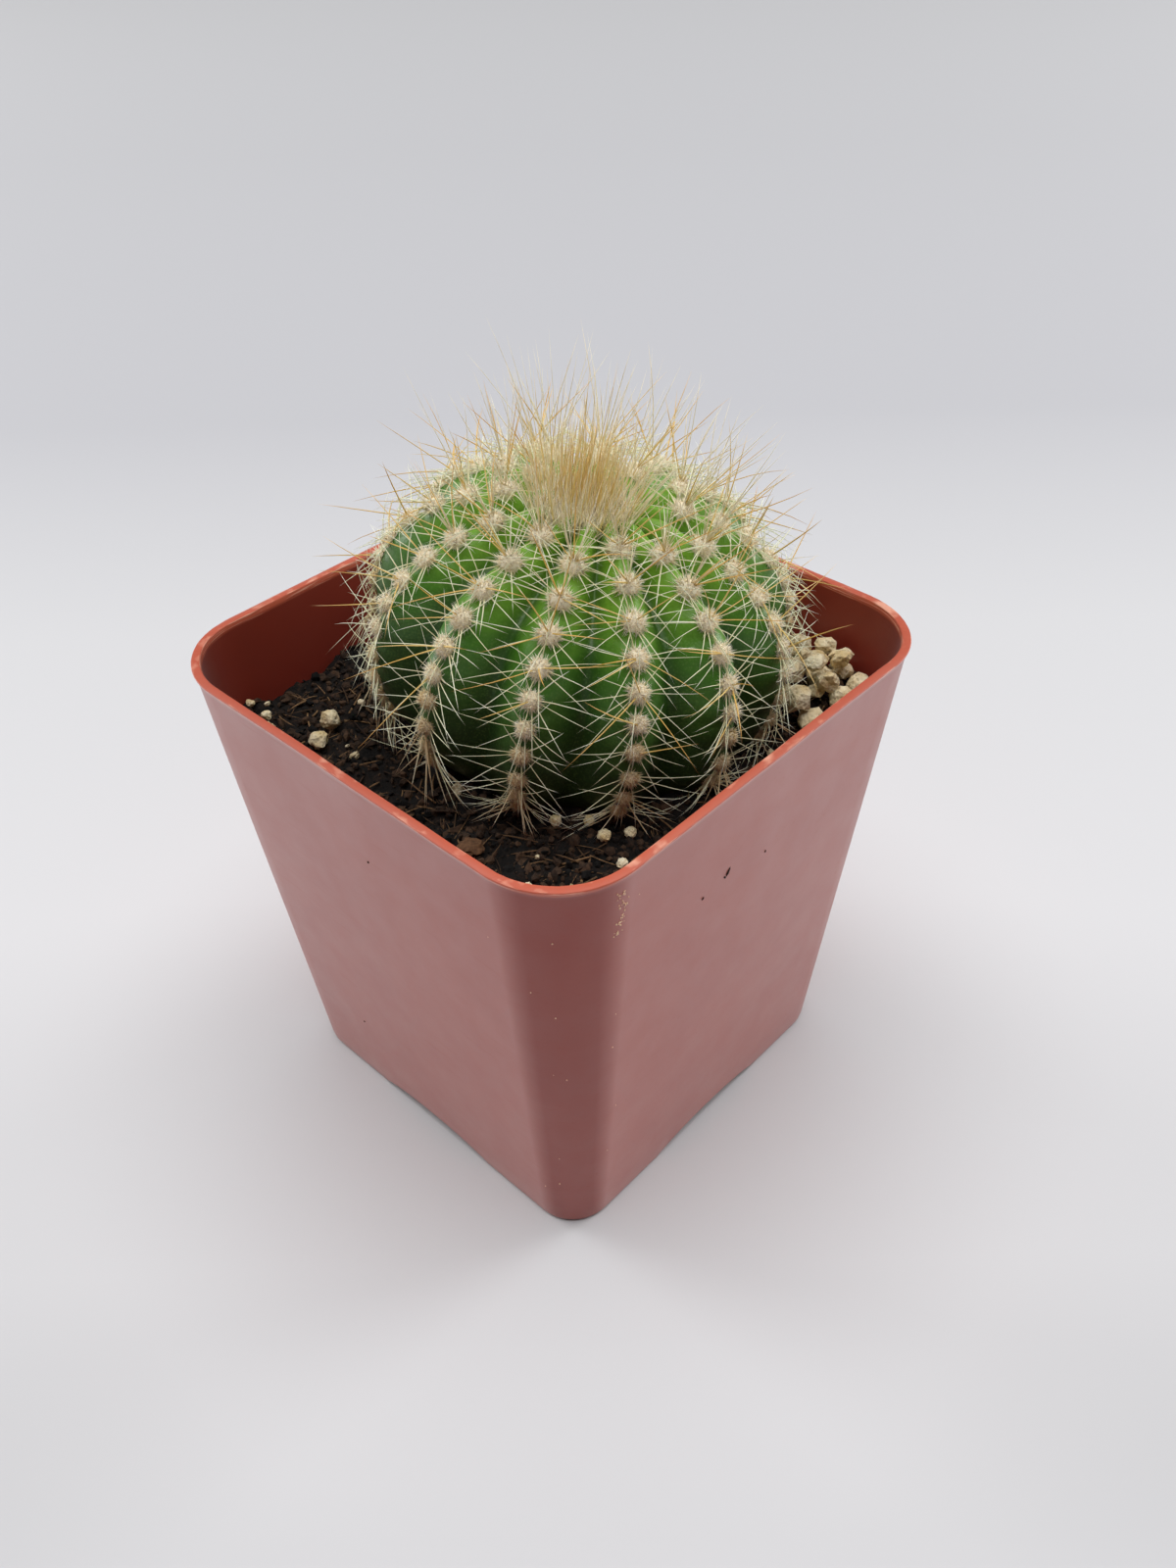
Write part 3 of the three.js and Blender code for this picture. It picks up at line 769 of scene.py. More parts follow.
    def round_outline(self, pot: bpy.types.Object, side: float, corner: float) -> None:
        """Moves the bevelled corners onto true arcs.

        Args:
            pot: The pot so far.
            side: The outline's side.
            corner: The outline's corner radius.
        """
        centre = side / 2 - corner
        for vertex in pot.data.vertices:
            x, y = vertex.co.x / MM, vertex.co.y / MM
            if abs(x) > centre and abs(y) > centre:
                out = Vector((x - math.copysign(centre, x), y - math.copysign(centre, y)))
                out = out.normalized() * corner
                vertex.co.x = (math.copysign(centre, x) + out.x) * MM
                vertex.co.y = (math.copysign(centre, y) + out.y) * MM

    def fit_ring(self, pot: bpy.types.Object, old: tuple[float, float], new: tuple[float, float],
                 z: float) -> None:
        """Moves the selected ring from one section to the next.

        Args:
            pot: The pot so far, with the ring selected.
            old: Side and corner radius that the ring has.
            new: Side and corner radius that it gets.
            z: Its height in millimetres.
        """
        old_centre = old[0] / 2 - old[1]
        new_centre = new[0] / 2 - new[1]
        for vertex in (v for v in pot.data.vertices if v.select):
            for axis in (0, 1):
                value = vertex.co[axis] / MM
                past = abs(value) - old_centre
                if past > 0:
                    moved = new_centre + past * new[1] / old[1]
                else:
                    moved = abs(value) * new_centre / old_centre
                vertex.co[axis] = math.copysign(moved, value) * MM
            vertex.co.z = z * MM

    def cut_openings(self, pot: bpy.types.Object) -> None:
        """Cuts the four arched notches of the skirt and the five drain holes.

        Args:
            pot: The pot so far.
        """
        s = self.shape
        for turn in (0.0, math.pi / 2):
            deselect()
            bpy.ops.mesh.primitive_cylinder_add(vertices=48, radius=1.0, depth=s.base_side * 1.3 * MM,
                                                rotation=(math.pi / 2, 0, turn))
            arch = bpy.context.object
            arch.scale = (s.notch_half * MM, s.notch_height * MM, 1.0)
            self.subtract(pot, arch)
        for across, deep in ((0, 0), (1, 0), (-1, 0), (0, 1), (0, -1)):
            deselect()
            spot = Vector((s.drain_offset * across, s.drain_offset * deep, s.floor_low + 0.5)) * MM
            bpy.ops.mesh.primitive_cylinder_add(vertices=32, radius=s.drain_radius * MM, depth=3 * MM,
                                                location=spot)
            self.subtract(pot, bpy.context.object)

    def subtract(self, pot: bpy.types.Object, cutter: bpy.types.Object) -> None:
        """Cuts a shape out of the pot and removes the cutter.

        Args:
            pot: The pot so far.
            cutter: The shape to cut out, which is removed.
        """
        deselect()
        cutter.select_set(True)
        bpy.context.view_layer.objects.active = cutter
        bpy.ops.object.transform_apply(location=True, rotation=True, scale=True)
        modifier = pot.modifiers.new("cut", "BOOLEAN")
        modifier.operation = "DIFFERENCE"
        modifier.object = cutter
        modifier.solver = "EXACT"
        deselect()
        pot.select_set(True)
        bpy.context.view_layer.objects.active = pot
        bpy.ops.object.modifier_apply(modifier=modifier.name)
        bpy.data.objects.remove(cutter)

    def roughen_rim(self, pot: bpy.types.Object) -> None:
        """Lets the thin walls waver a little and nicks the rim, as on a cheap thin moulding.

        Args:
            pot: The pot so far.
        """
        places = coordinates(pot.data)
        for row in places:
            x, y, z = row / MM
            high = (z - self.waver_from) / 22.5
            if high <= 0:
                continue
            wave = noise.noise(Vector((x * 0.06, y * 0.06, 3.1))) * 0.5 * high
            burr = noise.noise(Vector((x * 0.9, y * 0.9, z * 0.2))) * 0.05 if z > self.burr_from else 0.0
            reach = math.hypot(x, y)
            row[0] -= x / reach * abs(wave) * 0.5 * MM
            row[1] -= y / reach * abs(wave) * 0.5 * MM
            row[2] -= abs(burr) * MM
        move_vertices(pot.data, places)

    def mark_flats(self, pot: bpy.types.Object) -> None:
        """Stores where the outside is flat, 1, and where it turns a corner or is inside, 0; the plastic
        paints shade and thins its coat where it is low.

        Args:
            pot: The pot so far.
        """
        flats = []
        for x, y, z in coordinates(pot.data) / MM:
            side, corner = self.shape.section(z, 0.0)
            centre = side / 2 - corner
            dx, dy = sorted((max(abs(x) - centre, 0.0), max(abs(y) - centre, 0.0)))
            turn = math.degrees(math.atan2(dx, max(dy, 0.01)))
            inner = corner - math.hypot(dx, dy) > self.shape.wall / 2
            share = min(max((self.flat_until_deg - turn) / self.flat_fade_deg, 0.0), 1.0)
            flats.append(0.0 if inner else share)
        write_attribute(pot.data, "flat", np.array(flats))


@dataclass(frozen=True)
class SoilShape:
    """The uneven top of the peat: its level, its lumps and the rise in one corner, in millimetres."""

    level: float = 53.1
    heap_x: float = 24.0
    heap_y: float = -20.5
    heap_height: float = 2.6
    heap_spread: float = 7.5

    def height(self, x: float, y: float) -> float:
        """Gives the height of the top at a place, as the solid has it.

        Args:
            x: Place along X in millimetres.
            y: Place along Y in millimetres.

        Returns:
            The height in millimetres.
        """
        lumps = 0.6 * math.sin(x * 0.37 + 1.1) * math.cos(y * 0.31) + 0.35 * math.sin(x * 0.83 + y * 0.71)
        away = ((x - self.heap_x) ** 2 + (y - self.heap_y) ** 2) / self.heap_spread ** 2
        return self.level + lumps + self.heap_height * math.exp(-away)

    def crumbled(self, x: float, y: float) -> float:
        """Gives the height with the crumbs of the peat added.

        Args:
            x: Place along X in millimetres.
            y: Place along Y in millimetres.

        Returns:
            The height in millimetres.
        """
        place = Vector((x * 0.55, y * 0.55, 7.0))
        coarse = noise.fractal(place, 0.7, 2.2, 5) * 0.75
        return self.height(x, y) + coarse


@dataclass(frozen=True)
class Areole:
    """One woolly cushion on a rib crest: its place, its directions, its rank down the rib and its age."""

    at: Vector
    out: Vector
    down: Vector
    side: Vector
    rank: int
    age: float

    @property
    def size(self) -> float:
        """The cushion's radius in millimetres: the young ones are larger."""
        return 1.5 - 0.66 * self.age


@dataclass(frozen=True)
class Globe:
    """The ribbed globe's form, as the solid has it, in millimetres."""

    place: Vector = field(default_factory=lambda: Vector((4.2, -0.6, 64.7)))
    lean_deg: float = 9.7
    lean_towards_deg: float = -73.0
    ribs: int = 13
    phase_deg: float = 14.3
    radius: float = 23.9
    rise: float = 17.1
    drop: float = 18.1
    fullness: float = 2.2
    ranks: int = 10
    first_deg: float = 17.1
    step_deg: float = 11.9
    narrowing_deg: float = 0.18
    spiral_step: int = 5
    groove_top: float = 0.24
    groove_middle: float = 0.15
    groove_end: float = 0.75
    groove_sag: float = 2.2
    crown_dimple: float = 1.2

    def pose(self) -> Matrix:
        """Gives the turn and place that take the upright globe to where it stands.

        Returns:
            The matrix, in millimetres.
        """
        toward = math.radians(self.lean_towards_deg)
        axis = Vector((-math.sin(toward), math.cos(toward), 0.0))
        lean = Matrix.Rotation(math.radians(self.lean_deg), 4, axis)
        spin = Matrix.Rotation(math.radians(self.phase_deg), 4, "Z")
        return Matrix.Translation(self.place) @ lean @ spin

    def profile(self, angle: float) -> tuple[float, float]:
        """Gives the crest's radius and height at an angle down from the crown.

        Args:
            angle: Radians down from the crown.

        Returns:
            The radius and the height, in millimetres.
        """
        power = 2 / self.fullness
        up = math.cos(angle)
        height = self.rise if up > 0 else self.drop
        return (self.radius * abs(math.sin(angle)) ** power,
                math.copysign(height * abs(up) ** power, up))

    def groove(self, angle: float) -> float:
        """Gives the depth of the grooves as a share of the radius.

        Args:
            angle: Radians down from the crown.

        Returns:
            The depth, 0 where there is none.
        """
        t = angle / math.pi
        if t < 0.5:
            return self.groove_top + (self.groove_middle - self.groove_top) * t / 0.5
        return max(0.0, self.groove_middle * (1 - (t - 0.5) / (self.groove_end - 0.5)))

    def ridge(self, angle: float, along: float) -> float:
        """Gives the rib's cross-section from 0 in the groove to 1 on the crest, rounder low down.

        Args:
            angle: Radians down from the crown.
            along: Radians across the ribs, 0 on a crest.

        Returns:
            The share of the rib's full height.
        """
        sharp = abs(math.cos(along / 2))
        soft = 0.5 + 0.5 * math.cos(along)
        share = min(max((angle - 1.1) / 1.0, 0.0), 1.0) * 0.55
        return sharp * (1 - share) + soft * share

    def point(self, angle: float, around: float) -> Vector:
        """Gives a point of the skin, on the upright globe.

        Args:
            angle: Radians down from the crown.
            around: Radians round the plant.

        Returns:
            The place, in millimetres.
        """
        along = around * self.ribs
        radius, z = self.profile(angle)
        ridge = self.ridge(angle, along)
        out = radius * (1 - self.groove(angle) * (1 - ridge))
        sag = self.groove_sag * (1 - ridge) * math.sin(angle * math.pi) if angle < 1 else 0.0
        dimple = self.crown_dimple * math.exp(-((radius / 4) ** 2))
        return Vector((out * math.cos(around), out * math.sin(around), z - sag - dimple))

    def spiral_offset(self, rib: int) -> float:
        """Tells, in ranks, how far down its rib the first areole stands: they spiral, each five ribs on."""
        return (self.spiral_step * rib) % self.ribs / self.ribs

    def rank_angle(self, rank: float) -> float:
        """Gives the angle from the crown of an areole's rank: older ones stand closer together."""
        return math.radians(self.first_deg + self.step_deg * rank - self.narrowing_deg * rank * rank)

    def areoles(self) -> list[Areole]:
        """Lists every areole, rib by rib from the crown down, on the upright globe.

        Returns:
            The areoles.
        """
        found = []
        for rib in range(self.ribs):
            around = rib * 2 * math.pi / self.ribs
            for rank in range(self.ranks):
                angle = self.rank_angle(rank + self.spiral_offset(rib))
                down = (self.point(angle + 0.03, around) - self.point(angle - 0.03, around)).normalized()
                side = Vector((-math.sin(around), math.cos(around), 0.0))
                out = down.cross(side).normalized()
                age = (rank + self.spiral_offset(rib)) / self.ranks
                found.append(Areole(self.point(angle, around) + out * 0.3, out, down, side, rank, age))
        return found

    def skin_radius(self, point: Vector) -> float:
        """Tells how far a point is outside the crest's surface, in millimetres, roughly.

        Args:
            point: A place, in millimetres.

        Returns:
            The distance, negative inside the plant.
        """
        local = self.pose().inverted() @ point
        reach = math.hypot(local.x, local.y)
        angle = math.atan2(reach / self.radius, local.z / (self.rise if local.z > 0 else self.drop))
        radius, z = self.profile(angle)
        return math.hypot(reach, local.z) - math.hypot(radius, z)


@dataclass
class Needle:
    """One fibre: where it starts, where it heads, how long and thick it is, and how it curls."""

    root: Vector
    heading: Vector
    length: float
    radius: float
    curl: Vector
    tint: float


@dataclass
class NeedleField:
    """Needles that are copied from one modelled needle and written as one mesh."""

    sides: int = 4
    cuts: int = 3
    blunt: float = 0.45
    needles: list[Needle] = field(default_factory=list)

    def model_one(self) -> tuple[np.ndarray, list[tuple[int, ...]]]:
        """Models one needle along Z, from 0 to 1, with rings to bend at.

        Returns:
            Its vertices and its faces.
        """
        deselect()
        bpy.ops.mesh.primitive_cone_add(vertices=self.sides, radius1=1.0, radius2=0.0, depth=1.0,
                                        location=(0, 0, 0.5), end_fill_type="NGON")
        one = bpy.context.object
        bpy.ops.object.transform_apply(location=True, rotation=True, scale=True)
        bpy.ops.object.mode_set(mode="EDIT")
        for k in range(self.cuts):
            bpy.ops.mesh.select_all(action="SELECT")
            bpy.ops.mesh.bisect(plane_co=(0, 0, (k + 1) / (self.cuts + 1)), plane_no=(0, 0, 1))
        bpy.ops.object.mode_set(mode="OBJECT")
        shape = coordinates(one.data)
        faces = [tuple(face.vertices) for face in one.data.polygons]
        left = np.clip(1 - shape[:, 2], 1e-6, 1)
        shape[:, :2] *= np.where(left > 1e-4, left ** (-self.blunt), 1.0)[:, None]
        mesh = one.data
        bpy.data.objects.remove(one)
        bpy.data.meshes.remove(mesh)
        return shape, faces

    def write(self, name: str, pose: Matrix, finish: bpy.types.Material) -> bpy.types.Object:
        """Writes all needles as one piece.

        Args:
            name: The piece's name.
            pose: The turn and place of the plant, in millimetres.
            finish: The material.

        Returns:
            The new piece.
        """
        shape, faces = self.model_one()
        roots = np.array([n.root for n in self.needles])
        heads = np.array([n.heading for n in self.needles])
        heads /= np.linalg.norm(heads, axis=1)[:, None]
        curls = np.array([n.curl for n in self.needles])
        lengths = np.array([n.length for n in self.needles])[:, None, None]
        radii = np.array([n.radius for n in self.needles])[:, None, None]
        helper = np.where(np.abs(heads[:, 2:3]) > 0.9, np.array([[1.0, 0, 0]]), np.array([[0, 0, 1.0]]))
        sides = np.cross(heads, helper)
        sides /= np.linalg.norm(sides, axis=1)[:, None]
        others = np.cross(heads, sides)
        x, y, z = shape[None, :, 0:1], shape[None, :, 1:2], shape[None, :, 2:3]
        points = (roots[:, None] + heads[:, None] * lengths * z + curls[:, None] * lengths * z ** 2
                  + (sides[:, None] * x - others[:, None] * y) * radii)
        turn = np.array(pose.to_3x3())
        places = (points.reshape(-1, 3) @ turn.T + np.array(pose.translation)) * MM
        step = len(shape)
        all_faces = [tuple(i + k * step for i in face) for k in range(len(self.needles)) for face in faces]
        mesh = bpy.data.meshes.new(name)
        mesh.from_pydata(places.tolist(), [], all_faces)
        write_attribute(mesh, "along", np.tile(shape[:, 2], len(self.needles)))
        write_attribute(mesh, "tint", np.repeat([n.tint for n in self.needles], step))
        mesh.materials.append(finish)
        return link_piece(name, mesh, True)


@dataclass
class Cactus:
    """The plant: skin, wool, spines and the tuft of young spines at the crown."""

    globe: Globe
    pot: PotShape
    soil: SoilShape
    around_steps: int = 18
    rings: int = 150
    felt: int = 300
    felt_old_from: float = 0.6
    sheaf_from: float = 0.72
    white_until: float = 0.2
    golden_until: float = 0.62
    tuft_shift: tuple[float, float] = (-1.4, 1.5)
    tuft_count: int = 430
    tuft_radius: float = 5.4
    tuft_core: float = 3.7
    wool_count: int = 2600
    wool_radius: float = 5.2
    clearance: float = 0.25
    tries: int = 14
    turn_up: float = 0.14
    shorten: float = 0.95
    top_limit: float = CAD_BOX[1][2] / MM - 0.3
    draw: random.Random = field(default_factory=lambda: random.Random(23))

    def build(self) -> None:
        """Builds every piece of the plant."""
        self.build_skin(WaxySkin("Cactus_epidermis_waxy", 0.42, 1.45).build())
        self.build_wool()
        self.build_spines()
        self.build_tuft()

    def build_skin(self, finish: bpy.types.Material) -> bpy.types.Object:
        """Shapes a sphere into the ribbed globe, with a swelling under each areole.

        Args:
            finish: The material.

        Returns:
            The new piece.
        """
        globe = self.globe
        columns = globe.ribs * self.around_steps
        deselect()
        bpy.ops.mesh.primitive_uv_sphere_add(segments=columns, ring_count=self.rings, radius=1.0)
        skin = name_piece("cactus_body")
        sphere = coordinates(skin.data)
        bumps = [[globe.rank_angle(rank + globe.spiral_offset(rib)) for rank in range(-1, globe.ranks)]
                 for rib in range(globe.ribs)]
        places = np.empty_like(sphere)
        age = np.empty(len(sphere))
        crest = np.empty(len(sphere))
        pose = globe.pose()
        for i, (x, y, z) in enumerate(sphere):
            angle = math.acos(max(-1.0, min(1.0, z)))
            around = math.atan2(y, x)
            along = around * globe.ribs
            point = globe.point(angle, around)
            radius, _ = globe.profile(angle)
            aside = math.remainder(along, 2 * math.pi) / globe.ribs * radius
            rib = round(along / (2 * math.pi)) % globe.ribs
            near = min(abs(angle - bump) for bump in bumps[rib]) * globe.radius * 0.9
            swell = math.exp(-(near / 1.9) ** 2) * math.exp(-(aside / 2.4) ** 2)
            fade = 1.0 - min(max((angle - 1.2) / 1.2, 0.0), 1.0) * 0.6
            out = Vector((x, y, z * 0.8)).normalized()
            lump = noise.noise(point * 0.16) * 0.25
            point = point + out * (swell * 0.6 * fade - 0.3 + lump)
            places[i] = pose @ point
            # The skin paints from these: darker low down, partly as painted shade, and darker in the grooves
            # as painted shade.
            age[i] = min(max((angle - 0.35) / 1.75, 0.0), 1.0)
            crest[i] = globe.ridge(angle, along)
        move_vertices(skin.data, places * MM)
        write_attribute(skin.data, "age", age)
        write_attribute(skin.data, "ridge", crest)
        skin.data.materials.append(finish)
        bpy.ops.object.shade_smooth()
        return settle(skin, Slot.PLANT, "cactus")

    def clear(self, root: Vector, heading: Vector, length: float, bow: Vector, pose: Matrix) -> bool:
        """Tells whether a spine keeps clear of the walls, the peat and the part's outer box.

        Args:
            root: Where the spine starts, on the upright globe.
            heading: Where it points.
            length: Its length in millimetres.
            bow: How far its tip bends away, as a share of its length.
            pose: The turn and place of the plant, in millimetres.

        Returns:
            Whether it is clear.
        """
        for share in (0.4, 0.6, 0.8, 1.0):
            point = pose @ (root + heading * (length * share) + bow * (length * share ** 2))
            if point.z > self.top_limit or self.pot.past_wall(*point) > -self.clearance:
                return False
            if point.z < self.soil.height(point.x, point.y) + 0.2:
                return False
        return True

    def lay(self, group: NeedleField, root: Vector, heading: Vector, length: float, radius: float,
            tint: float, bow: Vector, stray: float) -> None:
        """Adds a spine, turned upwards and shortened until it is clear.

        Args:
            group: The field that takes it.
            root: Where it starts, on the upright globe.
            heading: Where it points.
            length: Its length in millimetres.
            radius: Its radius at the root.
            tint: The share of its other colour.
            bow: How far its tip bends away, as a share of its length.
            stray: How far that bend differs from spine to spine.
        """
        pose = self.globe.pose()
        heading = heading.normalized()
        bend = bow + jitter(self.draw, stray)
        for _ in range(self.tries):
            if self.clear(root, heading, length, bend, pose):
                break
            heading = heading.lerp(Vector((0, 0, 1)), self.turn_up).normalized()
            length *= self.shorten
        else:
            return
        group.needles.append(Needle(root, heading, length, radius, bend, tint))

    def build_wool(self) -> None:
        """Sets a cushion on each areole and covers it with felt, cream at the top and brown low down."""
        young = NeedleField(sides=3, cuts=0, blunt=0.0)
        old = NeedleField(sides=3, cuts=0, blunt=0.0)
        for areole in self.globe.areoles():
            group = old if areole.age > self.felt_old_from else young
            for k in range(self.felt):
                reach = math.acos(1 - (k + 0.5) / self.felt * 1.15)
                turn = k * GOLDEN_TURN + self.draw.uniform(-0.3, 0.3)
                flat = areole.side * math.cos(turn) + areole.down * math.sin(turn)
                way = areole.out * math.cos(reach) + flat * math.sin(reach)
                root = areole.at + Vector(way) * areole.size * 0.7 - areole.out * areole.size * 0.3
                heading = way + jitter(self.draw, 0.5)
                bend = jitter(self.draw, 0.5)
                length = self.draw.uniform(0.35, 0.7) * areole.size
                radius = self.draw.uniform(0.05, 0.085)
                group.needles.append(Needle(root, heading.normalized(), length, radius, bend,
                                            self.draw.random() * 0.3))
        pose = self.globe.pose()
        cream = Keratin("Areole_felt_young", 0.85, 1.5, root="#F6E0B0", middle="#FFF8E2", tip="#FFFFF6",
                        other="#F3D49C", glow=0.1, fuzz=1.0).build()
        brown = Keratin("Areole_felt_old", 0.9, 1.5, root="#D8B472", middle="#F2DEB0", tip="#FDF4D8",
                        other="#CCA05A", glow=0.1, fuzz=0.9).build()
        settle(young.write("areole_wool_young", pose, cream), Slot.PLANT)
        settle(old.write("areole_wool_old", pose, brown), Slot.PLANT)
        self.build_cushions(cream)

    def build_cushions(self, finish: bpy.types.Material) -> bpy.types.Object:
        """Models one low cushion and copies it to every areole, as the bed of its felt.

        Args:
            finish: The material.

        Returns:
            The new piece.
        """
        shape, faces = model_bit(2)
        pose = self.globe.pose()
        turn = np.array(pose.to_3x3()).T
        bits, tints = [], []
        for areole in self.globe.areoles():
            axes = np.array([areole.side, areole.down, areole.out]) * areole.size * 0.85
            centre = np.array(areole.at - areole.out * areole.size * 0.3)
            bits.append((shape @ axes + centre) @ turn + np.array(pose.translation))
            tints.append(0.75 * areole.age ** 1.5)
        colours = {"tint": tints, "along": [0.45] * len(bits)}
        return settle(write_bits("areole_cushions", bits, faces, colours, finish, True), Slot.PLANT)

    def build_spines(self) -> None:
        """Rings each areole with pale radial spines and gives the upper ones golden central spines."""
        pale, golden, dry, white = (NeedleField(sides=4, cuts=3) for _ in range(4))
        for areole in self.globe.areoles():
            self.ring_spines(areole, pale, dry)
            self.central_spines(areole, golden, white)
        pose = self.globe.pose()
        glassy = Keratin("Spine_keratin_pale", 0.4, 1.5, root="#F4E8B8", middle="#F8F8DC", tip="#FFFFF0",
                         other="#DCD8A2", glow=0.1).build()
        amber = Keratin("Spine_keratin_amber", 0.38, 1.5, root="#EEC868", middle="#E4AC3E", tip="#C07C30",
                        other="#F2DC98", glow=0.08).build()
        straw = Keratin("Spine_keratin_straw", 0.55, 1.5, root="#D8BC88", middle="#F0E2BC", tip="#FBF4DC",
                        other="#CFAE7E", glow=0.1).build()
        milky = Keratin("Spine_keratin_milky", 0.45, 1.5, root="#F4ECCB", middle="#FBF6E4", tip="#F6EACB",
                        other="#E2CC98", glow=0.15).build()
        settle(pale.write("radial_spines", pose, glassy), Slot.PLANT)
        settle(golden.write("central_spines", pose, amber), Slot.PLANT)
        settle(dry.write("old_spines", pose, straw), Slot.PLANT)
        settle(white.write("crown_spines", pose, milky), Slot.PLANT)

    def ring_spines(self, areole: Areole, pale: NeedleField, dry: NeedleField) -> None:
        """Adds one areole's radial spines, bowed towards the skin, and the sheaf that the oldest hang down.

        Args:
            areole: The areole.
            pale: The field of the pale radial spines.
            dry: The field of the dry old spines.
        """
        count = round(13 - 5 * areole.age)
        for k in range(count):
            turn = (k + self.draw.uniform(-0.4, 0.4)) * 2 * math.pi / count
            sideways = abs(math.cos(turn))
            flat = areole.side * math.cos(turn) * 1.3 + areole.down * (math.sin(turn) + 0.2)
            flat.normalize()
            length = self.draw.uniform(4.8, 7.8) * (0.85 + 0.3 * sideways)
            root = areole.at + flat * areole.size * 0.55 - areole.out * 0.15
            heading = flat + areole.out * self.draw.uniform(0.25, 0.6)
            bow = areole.out * -self.draw.uniform(0.04, 0.26) + areole.down * self.draw.uniform(-0.06, 0.17)
            radius = self.draw.uniform(0.065, 0.09) * (1.05 - 0.3 * areole.age)
            self.lay(pale, root, heading, length, radius, self.draw.random() ** 2 * 0.6, bow, 0.04)
        if areole.age > self.sheaf_from:
            for _ in range(5):
                heading = areole.down + areole.side * self.draw.uniform(-0.6, 0.6)
                heading += areole.out * self.draw.uniform(0.2, 0.8)
                self.lay(dry, areole.at, heading, self.draw.uniform(6, 9.5), self.draw.uniform(0.07, 0.11),
                         self.draw.random() ** 2, areole.out * -0.05, 0.04)

    def central_spines(self, areole: Areole, golden: NeedleField, white: NeedleField) -> None:
        """Adds the long central spines of one areole: upright near the crown, spread further down.

        Args:
            areole: The areole.
            golden: The field of the golden central spines.
            white: The field of the pale spines near the crown.
        """
        if areole.age < self.white_until:
            for _ in range(9 if areole.rank == 0 else 5):
                heading = areole.out + areole.down * self.draw.uniform(-0.5, 0.45)
                heading += areole.side * self.draw.uniform(-0.7, 0.7) + Vector((0, 0, 0.35))
                self.lay(white, areole.at, heading, self.draw.uniform(7, 15), self.draw.uniform(0.05, 0.08),
                         self.draw.random() * 0.7, areole.down * self.draw.uniform(-0.05, 0.15), 0.1)
        if areole.age > self.golden_until:
            return
        for _ in range(self.draw.choice((2, 3, 3, 4) if areole.age < 0.45 else (0, 1, 1))):
            flat = areole.side * self.draw.uniform(-1.2, 1.2)
            flat += areole.down * self.draw.uniform(-0.5, 0.9)
            lift = self.draw.uniform(*((0.25, 0.7) if areole.age > self.white_until else (0.7, 1.6)))
            self.lay(golden, areole.at + areole.out * 0.3, flat + areole.out * lift,
                     self.draw.uniform(7, 13), self.draw.uniform(0.075, 0.105), self.draw.random() * 0.5,
                     areole.out * -self.draw.uniform(0.0, 0.2), 0.08)

    def build_tuft(self) -> None:
        """Stands the tuft of young golden spines and its bed of wool in the middle of the crown."""
        tuft = NeedleField(sides=4, cuts=3)
        halo = NeedleField(sides=4, cuts=3)
        bed = NeedleField(sides=3, cuts=0, blunt=0.0)
        top = self.globe.rise - 1.0
        off_x, off_y = self.tuft_shift
        for k in range(self.tuft_count):
            share = (k + 0.5) / self.tuft_count
            turn = k * GOLDEN_TURN
            radius = self.tuft_radius * math.sqrt(share)
            inner = radius < self.tuft_core
            root = Vector((off_x + radius * math.cos(turn), off_y + radius * math.sin(turn),
                           top - 0.5 - 0.8 * share))
            spread = self.draw.uniform(-0.08, 0.1) + (0.1 if inner else 0.5) * share
            heading = Vector((spread * math.cos(turn), spread * math.sin(turn), 1.0))
            heading += Vector((self.draw.uniform(-0.09, 0.09), self.draw.uniform(-0.09, 0.09), 0.0))
            length = self.draw.uniform(6, 11) if self.draw.random() < 0.88 else self.draw.uniform(11, 18.5)
            golden = self.draw.random() < (0.85 if inner else 0.3)
            self.lay(tuft if golden else halo, root, heading, length, self.draw.uniform(0.055, 0.08),
                     self.draw.random() * 0.7, Vector((0, 0, 0)), 0.07)
        for _ in range(self.wool_count):
            turn = self.draw.uniform(0, 2 * math.pi)
            radius = self.wool_radius * math.sqrt(self.draw.random())
            root = Vector((off_x + radius * math.cos(turn), off_y + radius * math.sin(turn),
                           top + 0.3 - 0.022 * radius ** 2))
            heading = Vector((self.draw.uniform(-0.6, 0.6), self.draw.uniform(-0.6, 0.6), 1.0)).normalized()
            bend = jitter(self.draw, 0.4)
            bed.needles.append(Needle(root, heading, self.draw.uniform(0.9, 2.4), 0.055, bend,
                                      self.draw.random() * 0.5))
        pose = self.globe.pose()
        gold = Keratin("Spine_keratin_young_gold", 0.42, 1.5, root="#F2E2A4", middle="#E6C468", tip="#C08A3C",
                       other="#F4E6B0", glow=0.15).build()
        milky = Keratin("Spine_keratin_halo", 0.45, 1.5, root="#F8F0CE", middle="#FBF6E2", tip="#F4E8C8",
                        other="#E8D6A4", glow=0.15).build()
        cream = Keratin("Apex_felt", 0.85, 1.5, root="#EAD8AE", middle="#FAF0D4", tip="#FFFBEE",
                        other="#EBD4A2", glow=0.1, fuzz=0.9).build()
        settle(tuft.write("crown_tuft", pose, gold), Slot.PLANT)
        settle(halo.write("crown_halo", pose, milky), Slot.PLANT)
        settle(bed.write("crown_wool", pose, cream), Slot.PLANT)


